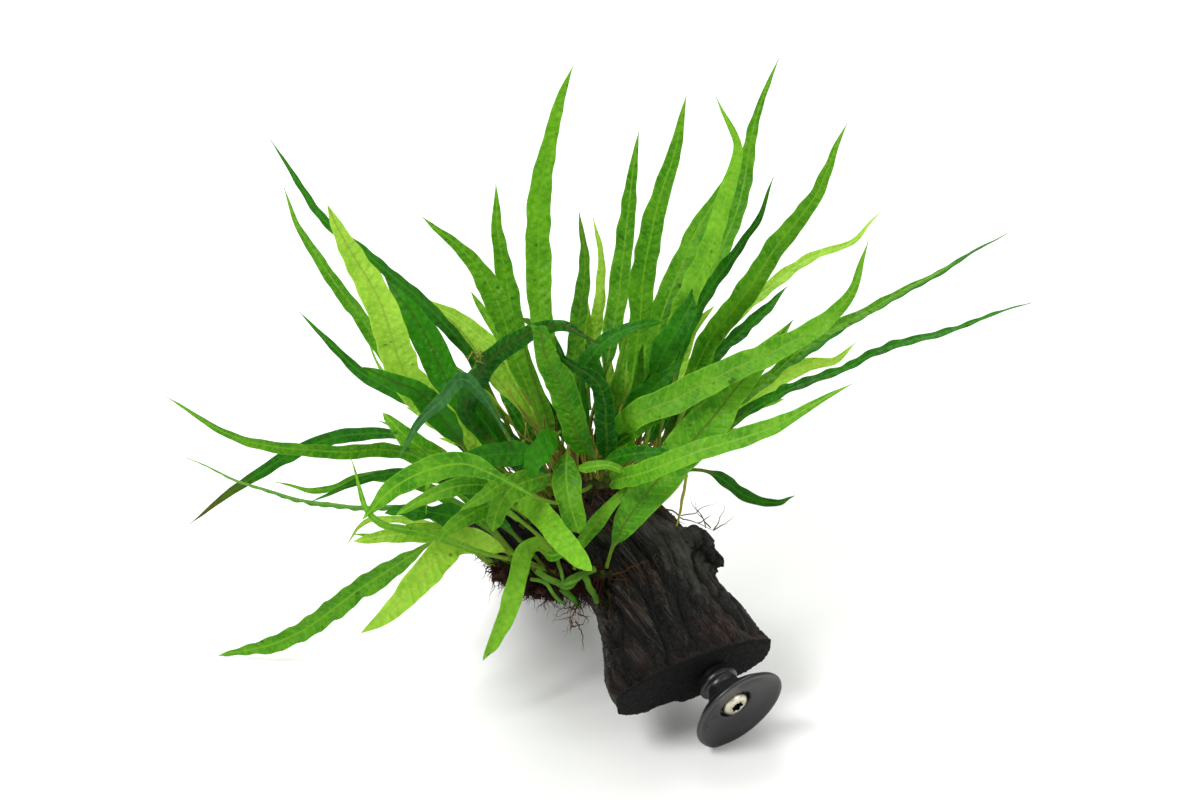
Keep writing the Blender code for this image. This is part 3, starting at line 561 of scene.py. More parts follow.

# %% [markdown]
# Its weathered sides are dark brown, redder where the grain is open, green where algae grow and darker
# towards the sawn end. A pale sheen is painted on the top, small wet glints are painted as highlights, and
# painted shade darkens the hollows. The shine is dull because the wood is damp. The sawn face is smooth and
# charcoal, with fine saw marks.

# %% Bog wood
def bog_wood():
    """Bog wood, waterlogged and weathered: nearly black, pale raised fibres, wet glints painted as
    highlights.
    """
    finish, tree = new_finish("bog_wood_weathered")
    hollow, sawn, green, worn = (
        add(tree, "Attribute", attribute_name=label).outputs["Fac"]
        for label in ("hollow", "sawn", "algae", "worn")
    )
    grain = add(tree, "Attribute", attribute_name="grain").outputs["Vector"]
    along = add(tree, "Mapping", {"Vector": grain, "Scale": (1.0, 1.0, 0.045)})
    streak = add(tree, "TexNoise", {"Vector": along, "Scale": 0.42, "Detail": 6.0, "Roughness": 0.65})
    broad = add(tree, "TexNoise", {"Vector": grain, "Scale": 0.05, "Detail": 3.0})
    fibre = add(tree, "TexNoise", {"Vector": along, "Scale": 1.7, "Detail": 4.0})
    pore = add(tree, "TexVoronoi", {"Vector": along, "Scale": 0.9}, feature="F1")
    glint = add(tree, "TexNoise", {"Vector": along, "Scale": 2.6, "Detail": 3.0})
    grey = add(tree, "Math", {0: worn, 1: streak}, operation="MULTIPLY")
    coats = (  # pattern, where it starts, where it is full, its shares at those two, colour
        (broad, 0.48, 0.66, 0.0, 0.8, "#2E150B"),  # open, reddish grain
        (streak, 0.54, 0.64, 0.0, 0.6, "#443F37"),  # lighter streaks
        (fibre, 0.52, 0.68, 0.0, 0.5, "#5C584E"),  # raised fibres
        (grey, 0.18, 0.5, 0.0, 0.6, "#66665A"),  # painted sheen, pale grey, on the top
        (glint, 0.6, 0.72, 0.0, 0.4, "#7A7A72"),  # painted highlights: small wet glints
        (broad, 0.36, 0.46, 0.6, 0.0, "#0C0906"),  # soaked patches
        (pore, 0.0, 0.22, 0.8, 0.0, "#060504"),  # open pores
    )
    shares = [add(tree, "MapRange", dict(enumerate(coat[:5]))) for coat in coats]
    tint = coated(tree, linear("#0B0806"), [(share, linear(coat[5])) for share, coat in zip(shares, coats)])
    # Painted shade: the hollows are darkened by how deep they sank, and the wood is also darker towards the
    # sawn end.
    marks = ((hollow, "#040303"), (green, "#34481A"), (sawn, "#050505"))
    tint = coated(tree, tint, [(share, linear(chart)) for share, chart in marks])
    gloss = add(tree, "MapRange", {0: streak, 1: 0.3, 2: 0.7, 3: 0.36, 4: 0.7})
    dull = add(tree, "Math", {0: sawn, 1: 0.3, 2: gloss}, operation="MULTIPLY_ADD")
    relief = add(tree, "Math", {0: fibre, 1: streak}, operation="ADD")
    bump = add(tree, "Bump", {"Height": relief, "Distance": 1.6 * MM, "Strength": 1.0})
    skin = {"Base Color": tint, "Roughness": dull, "Normal": bump, "IOR": 1.5, "Specular IOR Level": 0.2}
    add(tree, "OutputMaterial", {"Surface": add(tree, "BsdfPrincipled", skin)})
    return finish


ALGAE_PATCHES = [((-17, 14, 62), 9), ((-24, 8, 44), 5), ((5, 18, 70), 8)]  # place on the chunk, radius
WORN_TOP, WORN_REACH = (10, 16, 50), (18, 14, 26)  # the middle of the painted sheen on the top and its half sizes
DARK_END = 26  # how far up from the sawn face the wood is coloured darker
ragged = np.array([noise.noise((x / 3, y / 3, z / 5)) for x, y, z in chunk])
algae = np.zeros(len(points))
for place, radius in ALGAE_PATCHES:
    away = np.linalg.norm(chunk - place, axis=1) / radius
    algae = np.maximum(algae, np.clip(1.1 - away + 0.9 * ragged, 0, 1) * 0.6)
# Painted sheen: the top of the chunk is coloured paler, as where light glances off it.
worn = np.clip(1.4 - np.linalg.norm((chunk - WORN_TOP) / WORN_REACH, axis=1), 0, 1)
# The wood is coloured darker towards the sawn end.
damp = 0.85 * np.clip(1 - fromsaw / DARK_END, 0, 1) * np.clip((24 - chunk[:, 0]) / 20, 0, 1)
# The darkest coat holds painted shade in the hollows, from how deep each point sank, and the darkening
# towards the sawn end.
piece(
    "bog_wood", points, faces, bog_wood(), "driftwood", ("driftwood",), grain=chunk, algae=algae, worn=worn,
    hollow=np.clip(-carved / 2.2 - 0.1 + damp, 0, 0.9), sawn=(fromsaw < SAWN_DEPTH) * 0.85,
)
wood_points, wood_normals, wood_chunk = points, normals, chunk
wood_tree = BVHTree.FromPolygons([Vector(p) for p in points], faces)
print("bog_wood:", len(faces), "faces")

# %% [markdown]
# The suction cup is one black rubber moulding: a neck with a collar and a shallow dish with a thin lip,
# from which a small lift tab swells. Painted shade darkens two nicks in the dish. A stainless pan-head
# screw with a six-lobe recess holds it to the wood, with painted shade in its recess and round its head.
# Both are turned shapes: a profile of radius and height goes round their common axis. A lathe in numpy
# keeps the two in the cup's own directions.

# %% Turned pieces
TURN_STEPS = 128


def rounded(profile, radius, steps=4):
    """The profile with each inner corner swapped for a small arc."""
    profile = [np.array(p, float) for p in profile]
    made = [profile[0]]
    for before, corner, after in zip(profile, profile[1:], profile[2:]):
        back, ahead = before - corner, after - corner
        cut = min(radius, np.linalg.norm(back) / 2.1, np.linalg.norm(ahead) / 2.1)
        start, end = corner + unit(back) * cut, corner + unit(ahead) * cut
        for t in np.linspace(0, 1, steps):
            made.append(start * (1 - t) ** 2 + corner * 2 * t * (1 - t) + end * t**2)
    return np.array([*made, profile[-1]])


def turned(profile, bend):
    """Points and faces of a profile of (radius, height over the rim plane) turned about the cup's axis."""
    radius, angle = np.meshgrid(profile[:, 0], np.linspace(0, 2 * np.pi, TURN_STEPS, endpoint=False))
    radius, height = bend(radius, np.broadcast_to(profile[:, 1], radius.shape), angle)
    local = np.stack([radius * np.cos(angle), radius * np.sin(angle), height], axis=-1)
    local = local.transpose(1, 0, 2).reshape(-1, 3)
    points = LIP + local[:, :1] * ACROSS + local[:, 1:2] * np.cross(ALONG, ACROSS) + local[:, 2:] * ALONG
    return points, [face[::-1] for face in ring_faces(len(profile), TURN_STEPS)], local


def dented(radius, height, angle):
    """The dish has two nicks, its lip isn't quite level, and a lift tab swells the rim on one side."""
    wave = 0.18 * np.sin(2 * angle + 0.6) * np.clip((radius - 12) / 8, 0, 1)
    for place, far, wide, deep in NICKS:
        away = np.hypot((angle - place) * far, radius - far) / wide
        height = height + np.where(height < DISH_TOP, deep * np.exp(-(away**4)), 0)
    tab = TAB_SWELL * np.exp(-(((angle - TAB_ANGLE) / 0.28) ** 2)) * np.clip((radius - 17) / 2.5, 0, 1)
    return radius + tab, height + np.maximum(wave, 0)


TAB_ANGLE, TAB_SWELL = 1.88, 0.9
DISH_TOP = 6  # the inside of the dish is lower than this
NICKS = [(2.86, 10.3, 0.8, 1.2), (2.80, 14.7, 0.55, 0.9)]  # angle, distance from the axis, width, depth
cup_profile = rounded(
    [
        (3.2, 19.7), (7.4, 19.7), (7.4, 17.0), (8.4, 16.2), (8.4, 14.4), (7.2, 13.6), (7.2, 11.4), (8.6, 9.4),
        (12.0, 6.8), (16.5, 4.1), (19.7, 1.4), (20.0, 0.7), (19.75, 0.0), (18.4, 0.0), (17.4, 0.45),
        (16.2, 0.95), (15.4, 1.25), (14.6, 1.6), (13.8, 1.85), (13.0, 2.1), (12.2, 2.3), (11.4, 2.5),
        (9.5, 2.85), (7.4, 3.1), (6.9, 3.6), (6.6, 5.2), (6.0, 5.6), (3.2, 5.6),
    ],
    radius=0.7,
)
print("cup profile:", len(cup_profile), "points")

# %% Moulded rubber
def moulded_rubber():
    """Black rubber out of a polished mould, dulled by handling: satin, faint paler dust, painted shade in two
    nicks.
    """
    finish, tree = new_finish("moulded_black_rubber")
    place = add(tree, "Attribute", attribute_name="turned").outputs["Vector"]
    soil = add(tree, "Attribute", attribute_name="soil").outputs["Fac"]
    dust = add(tree, "TexNoise", {"Vector": place, "Scale": 0.35, "Detail": 5.0})
    grit = add(tree, "TexNoise", {"Vector": place, "Scale": 7.0, "Detail": 2.0})
    pale = add(tree, "MapRange", {0: dust, 1: 0.45, 2: 0.75, 4: 0.6})
    # Painted shade: the two nicks in the dish are coloured near black.
    tint = coated(tree, linear("#141416"), [(pale, linear("#262628")), (soil, linear("#040404"))])
    gloss = add(tree, "MapRange", {0: dust, 1: 0.3, 2: 0.7, 3: 0.28, 4: 0.42})
    bump = add(tree, "Bump", {"Height": grit, "Distance": 0.02 * MM, "Strength": 0.3})
    skin = {"Base Color": tint, "Roughness": gloss, "Normal": bump, "IOR": 1.52, "Specular IOR Level": 0.5}
    add(tree, "OutputMaterial", {"Surface": add(tree, "BsdfPrincipled", skin)})
    return finish


points, faces, local = turned(cup_profile, dented)
last = len(points) - TURN_STEPS
faces += [(last + i, last + (i + 1) % TURN_STEPS, (i + 1) % TURN_STEPS, i) for i in range(TURN_STEPS)]
# Painted shade in the two nicks of the dish.
soil = np.zeros(len(points))
for place, far, wide, _ in NICKS:
    away = np.linalg.norm(local[:, :2] - far * np.array((math.cos(place), math.sin(place))), axis=1)
    soil += np.exp(-((away / wide) ** 4)) * (local[:, 2] < DISH_TOP)
rubber = moulded_rubber()
piece("moulded_cup", points, faces, rubber, "black_rubber", ("suction_cup",), turned=local, soil=soil)
print("moulded_cup:", len(faces), "faces")

# %% [markdown]
# The six-lobe recess is a star-shaped hole. The lathe makes the head as rings, and the rings inside the
# recess are bent to the star's outline: its radius rises and falls six times round the screw.

# %% Pan-head screw
RECESS = 2.6  # the recess reaches this far from the axis


def lobed(radius, height, angle):
    """Rings within the recess take the outline of a six-lobe driver."""
    star = 1 + 0.2 * np.cos(6 * angle)
    return np.where((radius < RECESS) & (height < 10), radius * star, radius), height


def turned_steel():
    """Stainless steel, turned and then tumbled: bright and warm, faint tool rings, painted shade in its
    recess and round its head.
    """
    finish, tree = new_finish("turned_stainless_steel")
    place = add(tree, "Attribute", attribute_name="turned").outputs["Vector"]
    grime = add(tree, "Attribute", attribute_name="grime").outputs["Fac"]
    flat = add(tree, "Mapping", {"Vector": place, "Scale": (1.0, 1.0, 0.0)})
    far = add(tree, "VectorMath", {0: flat}, operation="LENGTH").outputs["Value"]
    rings = add(tree, "TexNoise", {"W": far, "Scale": 14.0, "Detail": 2.0}, noise_dimensions="1D")
    stain = add(tree, "TexNoise", {"Vector": place, "Scale": 0.8, "Detail": 3.0})
    # Painted shade: near black in the recess, and darker round the side of the head.
    tint = coated(tree, linear("#E4DFCC"), [(stain, linear("#C6C0AA")), (grime, linear("#12110F"))])
    gloss = add(tree, "MapRange", {0: stain, 1: 0.3, 2: 0.7, 3: 0.2, 4: 0.38})
    bump = add(tree, "Bump", {"Height": rings, "Distance": 0.04 * MM, "Strength": 0.6})
    skin = {"Base Color": tint, "Roughness": gloss, "Normal": bump, "Metallic": 1.0}
    add(tree, "OutputMaterial", {"Surface": add(tree, "BsdfPrincipled", skin)})
    return finish


screw_profile = rounded(
    [
        (0.02, 43.0), (1.0, 42.4), (2.6, 38.5), (2.6, 5.3), (5.7, 5.3), (5.7, 4.2), (5.3, 3.1), (4.6, 2.35),
        (3.6, 2.0), (2.58, 1.95), (2.5, 2.15), (2.4, 3.9), (1.6, 4.2), (0.02, 4.5),
    ],
    radius=0.25,
)
points, faces, local = turned(screw_profile, lobed)
faces += [list(range(TURN_STEPS)), list(range(len(points) - TURN_STEPS, len(points)))[::-1]]
far, deep = np.hypot(local[:, 0], local[:, 1]), local[:, 2]
# Painted shade: nearly full in the recess, half as strong on the side of the head.
grime = np.where((deep > 2.1) & (deep < 5) & (far < 3.1), 0.95, 0) + np.where(far > 5.55, 0.5, 0)
steel = turned_steel()
piece("pan_head_screw", points, faces, steel, "stainless_steel", ("cup_screw",), turned=local, grime=grime)
print("pan_head_screw:", len(faces), "faces")

# %% [markdown]
# Fifty-one fronds are solids, so their places are known. Most share one habit, and this table says what a
# few of them do otherwise: a wavier margin, a brown midrib, a deeper channel or a withered tip.

# %% The leaves of the solid fronds
# In these habits a shade above zero is painted light on the leaf, and below zero painted shade.
LEAF_HABITS = {
    "arch_left": {"rib": 0.8, "shade": -0.35, "channel": -0.2},
    "arch_middle": {"rib": 0.5, "shade": -0.45},
    "arch_right": {"rib": 0.7, "channel": -0.3, "wave": 0.8, "shade": -0.2},
    "front_blunt": {"slim": 0.76, "rib": 0.1, "shade": 0.65, "wave": 0.4, "blunt": 0.6, "channel": 0.1},
    "front_arch": {"blunt": 0.12, "channel": 0.12, "shade": -0.25},
    "front_hanging": {"shade": 0.6, "wave": 0.7, "blunt": 0.15},
    "front_short": {"blunt": 0.2},
    "left_brown_tip": {"dry": 0.8, "wave": 0.8},
    "left_broad_deep": {"rib": 0.6, "wave": 0.6, "shade": 0.9},
    "left_broad_low": {"rib": 0.3, "wave": 0.9, "blunt": 0.1},
    "left_broad_pale": {"rib": 0.5, "wave": 0.7, "shade": 0.1, "blunt": 0.15},
    "left_floor": {"wave": 1.0, "shade": 0.0, "pitch": 11.0, "blunt": 0.12},
    "left_level": {"shade": 0.5},
    "left_long": {"wave": 0.45, "pitch": 13.0},
    "left_thin": {"wave": 0.5, "pitch": 8.0},
    "right_broad": {"wave": 0.9, "rib": 0.3},
    "right_front_broad": {"rib": 0.8, "wave": 0.6, "shade": -0.1, "channel": 0.12},
    "right_long_upper": {"wave": 0.5, "pitch": 13.0, "notch": 0.15, "shade": 0.1},
    "right_toothed": {"wave": 0.6, "pitch": 8.0, "notch": 0.25},
    "right_wavy": {"wave": 0.6, "pitch": 12.0, "notch": 0.2, "shade": 0.15},
    "upright_curled": {"shade": 0.3, "channel": 0.45},
    "upright_leaning_left": {"shade": 0.1},
    "upright_tall_left": {"wave": 0.7, "shade": 0.4},
    "upright_tall_right": {"wave": 0.9, "pitch": 12.0},
    "upright_back_left": {"dry": 0.3},
}

slots = {row["node"]: row["material_slot"] for row in frame["record"]["subparts"]}
fronds = sorted(node for node in frame["nodes"] if node.startswith("frond_"))
lines = {}
for node in fronds:
    habit = dict(LEAF_HABITS.get(node[6:], {}))
    middles, sides, halves = read_frond(node)
    lines[node] = middles, sides, halves * habit.pop("slim", 1.0)
    leaf(f"leaf_{node[6:]}", *lines[node], slots[node], (node,), **habit)
print("leaves:", len(fronds))

# %% [markdown]
# A plant has its own directions too: to its right, up its leaves, and out to the side that it shows. The
# middle of the sawn face is a place that the solid model gives, so the heart of the plant is measured from
# there.

# %% The plant's own directions
RIGHT = np.array((1.0, 0, 0))
PLANT_UP = np.array((0, math.sin(LEAN), math.cos(LEAN)))
PLANT = np.array((RIGHT, PLANT_UP, FRONT))
CUP_OFF = (7.5, -2.0)  # from the middle of the sawn face to the cup's axis: across, upward
SAWN_FACE = (38.4, -108.8, 20.0)  # where the middle of the sawn face is, seen from the plant's heart
HEART = SEAT - CUP_OFF[0] * ACROSS - CUP_OFF[1] * UPWARD
for far, way in zip(SAWN_FACE, PLANT):
    HEART = HEART - far * way


def at_plant(places):
    """Places measured from the plant's heart: to the right, up the plant, out to its front."""
    return HEART + np.asarray(places, float) @ PLANT


def stem_line(node, count=40):
    """The middle line of a solid stem, from its left end: its points sorted along its longest direction."""
    places, _ = corners_of(node)
    middle = places.mean(0)
    axis = np.linalg.svd(places - middle)[2][0]
    axis *= np.sign(axis[0])
    order = (places - middle) @ axis
    bins = np.linspace(order.min(), order.max(), 15)
    rows = [places[(order >= low) & (order <= high)].mean(0) for low, high in zip(bins, bins[2:])]
    return smooth_rows(rows, count)


stems = {node: stem_line(node) for node in ("rhizome_top", "rhizome_back", "rhizome_front")}
print("heart of the plant:", HEART.round(1))

# %% [markdown]
# Some smaller leaves have a place of their own, because they cross in front of the big ones or fill a gap
# between them. Each one is written down by the way that it takes from its foot, by its half width and by
# its tone.

# %% Young leaves that are placed one by one
# In these habits a shade above zero is painted light on the leaf, and below zero painted shade.
YOUNG_LEAVES = {  # name: tone, half width, roll in degrees, habit, places
    "hanging_blade": ("mid", 4.8, 0, {"shade": -0.1, "blunt": 0.3},
        [(-12, -17, 42), (-13, -22, 46), (-13, -31, 48), (-11, -41, 50), (-8, -51, 49)]),
    "lobed_blade": ("deep", 3.8, 10, {"shade": 0.45, "notch": 0.35, "blunt": 0.3},
        [(-15, -12, 44), (-20, -16, 52), (-24, -21, 55), (-27, -26, 56), (-29, -29, 55)]),
    "nodding_front": ("mid", 4.6, 10, {"blunt": 0.15},
        [(-16, -28, 46), (-27, -31, 54), (-34, -34, 60), (-39, -42, 62), (-41, -50, 60)]),
    "level_heart": ("deep", 4.2, 10, {"shade": 0.2},
        [(-16, -20, 42), (-28, -20, 56), (-42, -21, 66), (-56, -25, 72), (-66, -31, 74)]),
    "dark_bow": ("deep", 2.8, 25, {"shade": 0.1},
        [(-12, 2, 44), (-5, 14, 52), (3, 23, 56), (13, 28, 58), (24, 30, 56)]),
    "bluish_broad": ("deep", 4.6, 15, {"shade": 0.15},
        [(18, 2, 26), (24, 16, 36), (30, 28, 42), (36, 40, 44), (39, 48, 43)]),
    "down_left_short": ("bright", 4.0, 5, {"shade": -0.1},
        [(-56, -26, 4), (-66, -22, 8), (-75, -16, 10), (-83, -8, 10), (-86, -5, 8)]),
    "toothed_dark": ("deep", 4.0, 15, {"notch": 0.3, "shade": 0.1},
        [(-46, -46, 18), (-54, -46, 27), (-64, -44, 30), (-75, -43, 30), (-84, -44, 27)]),
    "pale_flat_left": ("pale", 3.6, 20, {"shade": -0.2},
        [(-52, -50, 12), (-62, -51, 22), (-75, -52, 28), (-86, -53, 30), (-96, -55, 30)]),
    "under_arch": ("bright", 3.4, 20, {"shade": -0.1},
        [(-34, -34, 52), (-48, -32, 66), (-58, -33, 74), (-68, -38, 76), (-76, -43, 74)]),
    "left_middle_green": ("mid", 3.8, 10, {},
        [(-30, -40, 34), (-42, -40, 46), (-50, -44, 52), (-58, -50, 54), (-62, -55, 52)]),
    "low_right_dark": ("deep", 2.6, 20, {"shade": 0.1},
        [(-2, -26, 34), (8, -22, 44), (18, -20, 50), (29, -20, 52)]),
    "low_right_inner": ("mid", 2.4, 20, {"shade": -0.2},
        [(0, -22, 24), (12, -13, 34), (24, -6, 40), (36, -1, 42)]),
    "right_heart_dark": ("deep", 3.6, 15, {"shade": 0.2},
        [(4, -16, 22), (14, -2, 32), (24, 8, 38), (32, 16, 40)]),
    "pale_behind_left": ("pale", 3.6, 10, {}, [(-4, -4, -40), (-6, 16, -48), (-7, 36, -52), (-8, 50, -54)]),
    "pale_behind_middle": ("pale", 4.2, 10, {}, [(10, -4, -44), (17, 20, -52), (19, 38, -56), (18, 50, -57)]),
    "pale_behind_right": ("pale", 3.6, 10, {}, [(24, -6, -40), (31, 14, -48), (38, 30, -52), (43, 40, -54)]),
    "short_front_heart": ("bright", 1.6, 25, {"shade": 0.1},
        [(-12, -26, 40), (-5, -26, 50), (3, -25, 54), (12, -29, 54)]),
    "wavy_front": ("deep", 4.6, 12, {"shade": 0.35, "rib": 0.7},
        [(-50, -22, 42), (-57, -11, 56), (-63, -2, 68), (-69, 4, 76), (-77, 7, 80), (-88, 12, 82)]),
    "low_slanting": ("mid", 2.4, 10, {"shade": 0.1},
        [(-10, -66, 28), (-8, -58, 32), (0, -46, 36), (8, -37, 38), (13, -32, 38)]),
    "twig_leaf": ("bright", 1.8, 20, {}, [(-24, -58, 30), (-18, -60, 38), (-12, -56, 42), (-6, -54, 42)]),
}

LEAF_ROWS = 14
FOOT_HALF, TIP_HALF = 0.6, 0.1


def rolled(middles, roll):
    """Width directions for a leaf that faces the front, rolled about its own line by an angle."""
    ahead = unit(np.gradient(middles, axis=0))
    flat = unit(np.cross(ahead, FRONT + 0.01))
    return flat * math.cos(roll) + np.cross(flat, ahead) * math.sin(roll)


def widths_of(half, opens, closes, fullness):
    """Half widths, foot to tip: a bare stalk up to `opens`, then a blade that narrows over its last part."""
    share = np.linspace(0, 1, LEAF_ROWS)
    blade = np.clip((share - opens) / 0.25, 0, 1) ** 0.8 * np.clip((1 - share) / closes, 0, 1) ** fullness
    return np.append((FOOT_HALF + half * blade)[:-1], TIP_HALF)


for name, (tone, half, roll, habit, places) in YOUNG_LEAVES.items():
    middles = smooth_rows(at_plant(places), LEAF_ROWS)
    lines[name] = middles, rolled(middles, math.radians(roll)), widths_of(half, 0.12, 0.5, 0.7)
    leaf(f"young_leaf_{name}", *lines[name], f"frond_{tone}", **habit)
print("young leaves:", len(YOUNG_LEAVES))

# %% [markdown]
# Between the big fronds stand many smaller ones. They grow from the same stems and open like a fan: those
# at a stem's left end lean left, those at its right end lean right. Leaves in nature find a gap between
# their neighbours. Here each new leaf is tried in several places, and it takes the one with the most room.

# %% A fan of smaller leaves
TRIES = 14
LOWEST = -58  # no smaller leaf hangs further down the plant than this
FANS = {  # stem: leaves, lean at its two ends, forward lean, lengths, half widths, tones
    "rhizome_top": (20, (-62, 40), (-8, 30), (44, 74), (2.2, 3.8), ("deep", "mid", "deep", "bright")),
    "rhizome_back": (26, (-60, 50), (-40, 8), (52, 90), (2.4, 4.0), ("pale", "mid", "pale", "bright")),
    "rhizome_front": (12, (-75, -20), (15, 60), (26, 46), (2.2, 3.6), ("mid", "deep", "deep", "mid")),
}


def crowd(items):
    """A search tree over the places that leaves already take up."""
    places = np.vstack(items)
    tree = KDTree(len(places))
    for number, place in enumerate(places):
        tree.insert(place, number)
    tree.balance()
    return tree


def footprint(middles, sides, halves):
    """Points over a blade, for measuring room: its middle and both margins."""
    return np.vstack([middles, middles + sides * halves[:, None], middles - sides * halves[:, None]])[6:]


def fan_leaf(line, leans, forwards, lengths, widths):
    """One line for a smaller leaf: where it stands on the stem decides the way that it leans."""
    share = random.uniform(0.02, 0.98)
    lean = math.radians(leans[0] + (leans[1] - leans[0]) * share + random.normal(0, 7))
    forward = math.radians(random.uniform(*forwards))
    heading = PLANT_UP * math.cos(lean) + RIGHT * math.sin(lean)
    heading = heading * math.cos(forward) + FRONT * math.sin(forward)
    length, droop = random.uniform(*lengths), random.uniform(0.0, 0.22)
    t = np.linspace(0, 1, LEAF_ROWS)[:, None]
    foot = line[int(share * (len(line) - 1))]
    middles = foot + heading * t * length - np.array((0, 0, 1)) * droop * length * t**2.4
    middles = middles + np.cross(heading, FRONT) * random.normal(0, 0.07) * length * t**2
    sides = rolled(middles, math.radians(random.normal(0, 28)))
    return middles, sides, widths_of(random.uniform(*widths), 0.28, 0.6, 0.75)


def over_wood(place):
    """How far a place stands clear of the wood's skin, in millimetres; below zero inside it."""
    spot, normal, _, _ = wood_tree.find_nearest(Vector(place))
    return (Vector(place) - spot).dot(normal)


taken = [footprint(*line) for line in lines.values()]
low_limit, high_limit = np.array(cad_low) / MM + 1, np.array(cad_high) / MM - 1
made = 0
for node, (count, *ranges, tones) in FANS.items():
    for _ in range(count):
        room = crowd(taken)
        best, most = None, -1.0
        for _ in range(TRIES):
            tried = fan_leaf(stems[node], *ranges)
            spots = footprint(*tried)
            clear = float(np.quantile([room.find(Vector(spot))[2] for spot in spots], 0.15))
            inside = (spots > low_limit).all() and (spots < high_limit).all()
            inside &= ((spots - HEART) @ PLANT_UP > LOWEST).all()
            if inside and clear > most and min(over_wood(place) for place in tried[0][3:]) > 0.5:
                best, most = tried, clear
        if best is None:
            continue
        taken.append(footprint(*best))
        made += 1
        tone = "frond_" + str(random.choice(tones))
        # Mostly painted shade, for leaves in the crowded middle of the plant.
        looks = {"shade": random.uniform(-0.25, 0.1), "rib": random.uniform(0, 0.8), "stray": 1.6}
        leaf(f"small_leaf_{made:02d}", *best, tone, **looks)
print("smaller leaves:", made)

# %% [markdown]
# Java fern creeps on green-brown stems, the rhizomes, which are rough with the scars of old stalks. Brown
# roots as thin as wire grow from them and cling to the wood. One function makes many such fibres as one
# mesh: each is a thin tube along a wandering line. A fibre can cling, which pulls its points back onto the
# wood's skin.

# %% Many fibres as one mesh
def tubes(strands, sides, taper):
    """Points, faces and ages of many (line, radius) strands as thin tubes; a high taper keeps them blunt."""
    points, faces, ages = [], [], []
    turn = np.linspace(0, 2 * np.pi, sides, endpoint=False)
    first = 0
    for route, radius in strands:
        ahead = unit(np.gradient(route, axis=0))
        side = unit(np.cross(ahead, (0.31, 0.52, 0.8)))
        over = np.cross(side, ahead)
        size = radius * np.clip(taper - np.linspace(0, 1, len(route)), 0.12, 1)
        ring = np.cos(turn)[:, None] * side[:, None] + np.sin(turn)[:, None] * over[:, None]
        points.append((route[:, None] + ring * size[:, None, None]).reshape(-1, 3))
        faces += ring_faces(len(route), sides, first)
        end = first + (len(route) - 1) * sides
        faces += [tuple(range(first, first + sides))[::-1], tuple(range(end, end + sides))]
        ages.append(np.full(len(route) * sides, random.uniform(0, 1)))
        first += len(route) * sides
    return np.vstack(points), faces, np.concatenate(ages)


def fibres(name, strands, finish, stands_for=(), slot="roots", sides=4, taper=1.15, youngest=0.0, spread=1.0):
    """One mesh of many strands, whose ages run from the youngest over their spread."""
    points, faces, ages = tubes(strands, sides, taper)
    piece(name, points, faces, finish, slot, stands_for, age=youngest + spread * ages)
    print(f"{name}:", len(strands), "fibres,", len(faces), "faces")


def wander(start, heading, length, step=1.2, drift=0.35, fall=0.05, cling=None):
    """A line that sets off in a direction and strays; with `cling`, it keeps that far above the wood."""
    place, heading = np.array(start, float), unit(heading)
    route = [place]
    for _ in range(max(4, int(length / step))):
        heading = unit(heading + random.normal(0, drift, 3) - (0, 0, fall))
        place = place + heading * step
        if cling is not None:
            spot, normal, _, _ = wood_tree.find_nearest(Vector(place))
            place = np.array(spot) + np.array(normal) * cling
        place[2] = max(place[2], ABOVE_FLOOR)
        if np.linalg.norm(place - route[-1]) > 0.2 * step:
            route.append(place)
    return smooth_rows(np.array(route), len(route))


def root_finish(name, dark, light):
    """Wiry fern root: dry-looking brown skin with a fine ragged surface, darker where it is old; on the stem
    and the felt core, painted shade darkens it where the skin sinks.
    """
    finish, tree = new_finish(name)
    age = add(tree, "Attribute", attribute_name="age").outputs["Fac"]
    place = add(tree, "TexCoord").outputs["Object"]
    rough = add(tree, "TexNoise", {"Vector": place, "Scale": 1 / (0.9 * MM), "Detail": 3.0})
    broad = add(tree, "TexNoise", {"Vector": place, "Scale": 1 / (7 * MM), "Detail": 2.0})
    share = add(tree, "Math", {0: age, 1: 0.6, 2: broad}, operation="MULTIPLY_ADD")
    fresh = add(tree, "MapRange", {0: share, 1: 0.35, 2: 1.1})
    fleck = add(tree, "MapRange", {0: rough, 1: 0.6, 2: 0.8, 4: 0.5})
    tint = coated(tree, linear(dark), [(fresh, linear(light)), (fleck, linear(dark))])
    bump = add(tree, "Bump", {"Height": rough, "Distance": 0.2 * MM, "Strength": 0.8})
    skin = {"Base Color": tint, "Normal": bump, "Roughness": 0.72, "IOR": 1.45, "Specular IOR Level": 0.15}
    add(tree, "OutputMaterial", {"Surface": add(tree, "BsdfPrincipled", skin)})
    return finish


ABOVE_FLOOR = 0.3
old_root = root_finish("fern_root_old", "#120805", "#3A2016")
young_root = root_finish("fern_root_young", "#2E1C10", "#7A5430")
stem_skin = root_finish("rhizome_scaly", "#1E1C0C", "#4A5A1C")
stub_skin = root_finish("rhizome_green_tip", "#1E3A0C", "#588A24")
stalk_skin = root_finish("old_stalk_withered", "#3A2410", "#A09A3C")
print("root finishes: old, young, the stem's skin, its green tips and withered stalks")

# %% Creeping stems
def creeping_stem(node):
    """The stem with its rings of scars: a lumpy tube with knuckles every few millimetres."""
    skin, normals, faces = remeshed(node, 0.45)
    swell = np.array([noise.noise(p / 1.6) * 0.5 + 0.35 * ridged(p / 4.0) for p in skin])
    points = skin + normals * (swell * 0.55)[:, None]
    # Painted shade: the skin is coloured darker where it sinks and lighter where it swells out.
    piece(f"creeping_stem_{node[8:]}", points, faces, stem_skin, "rhizome", (node,), age=np.clip(swell, 0, 1))


for node, line in stems.items():
    creeping_stem(node)
    print(node, round(float(np.linalg.norm(np.diff(line, axis=0), axis=1).sum())), "mm long")

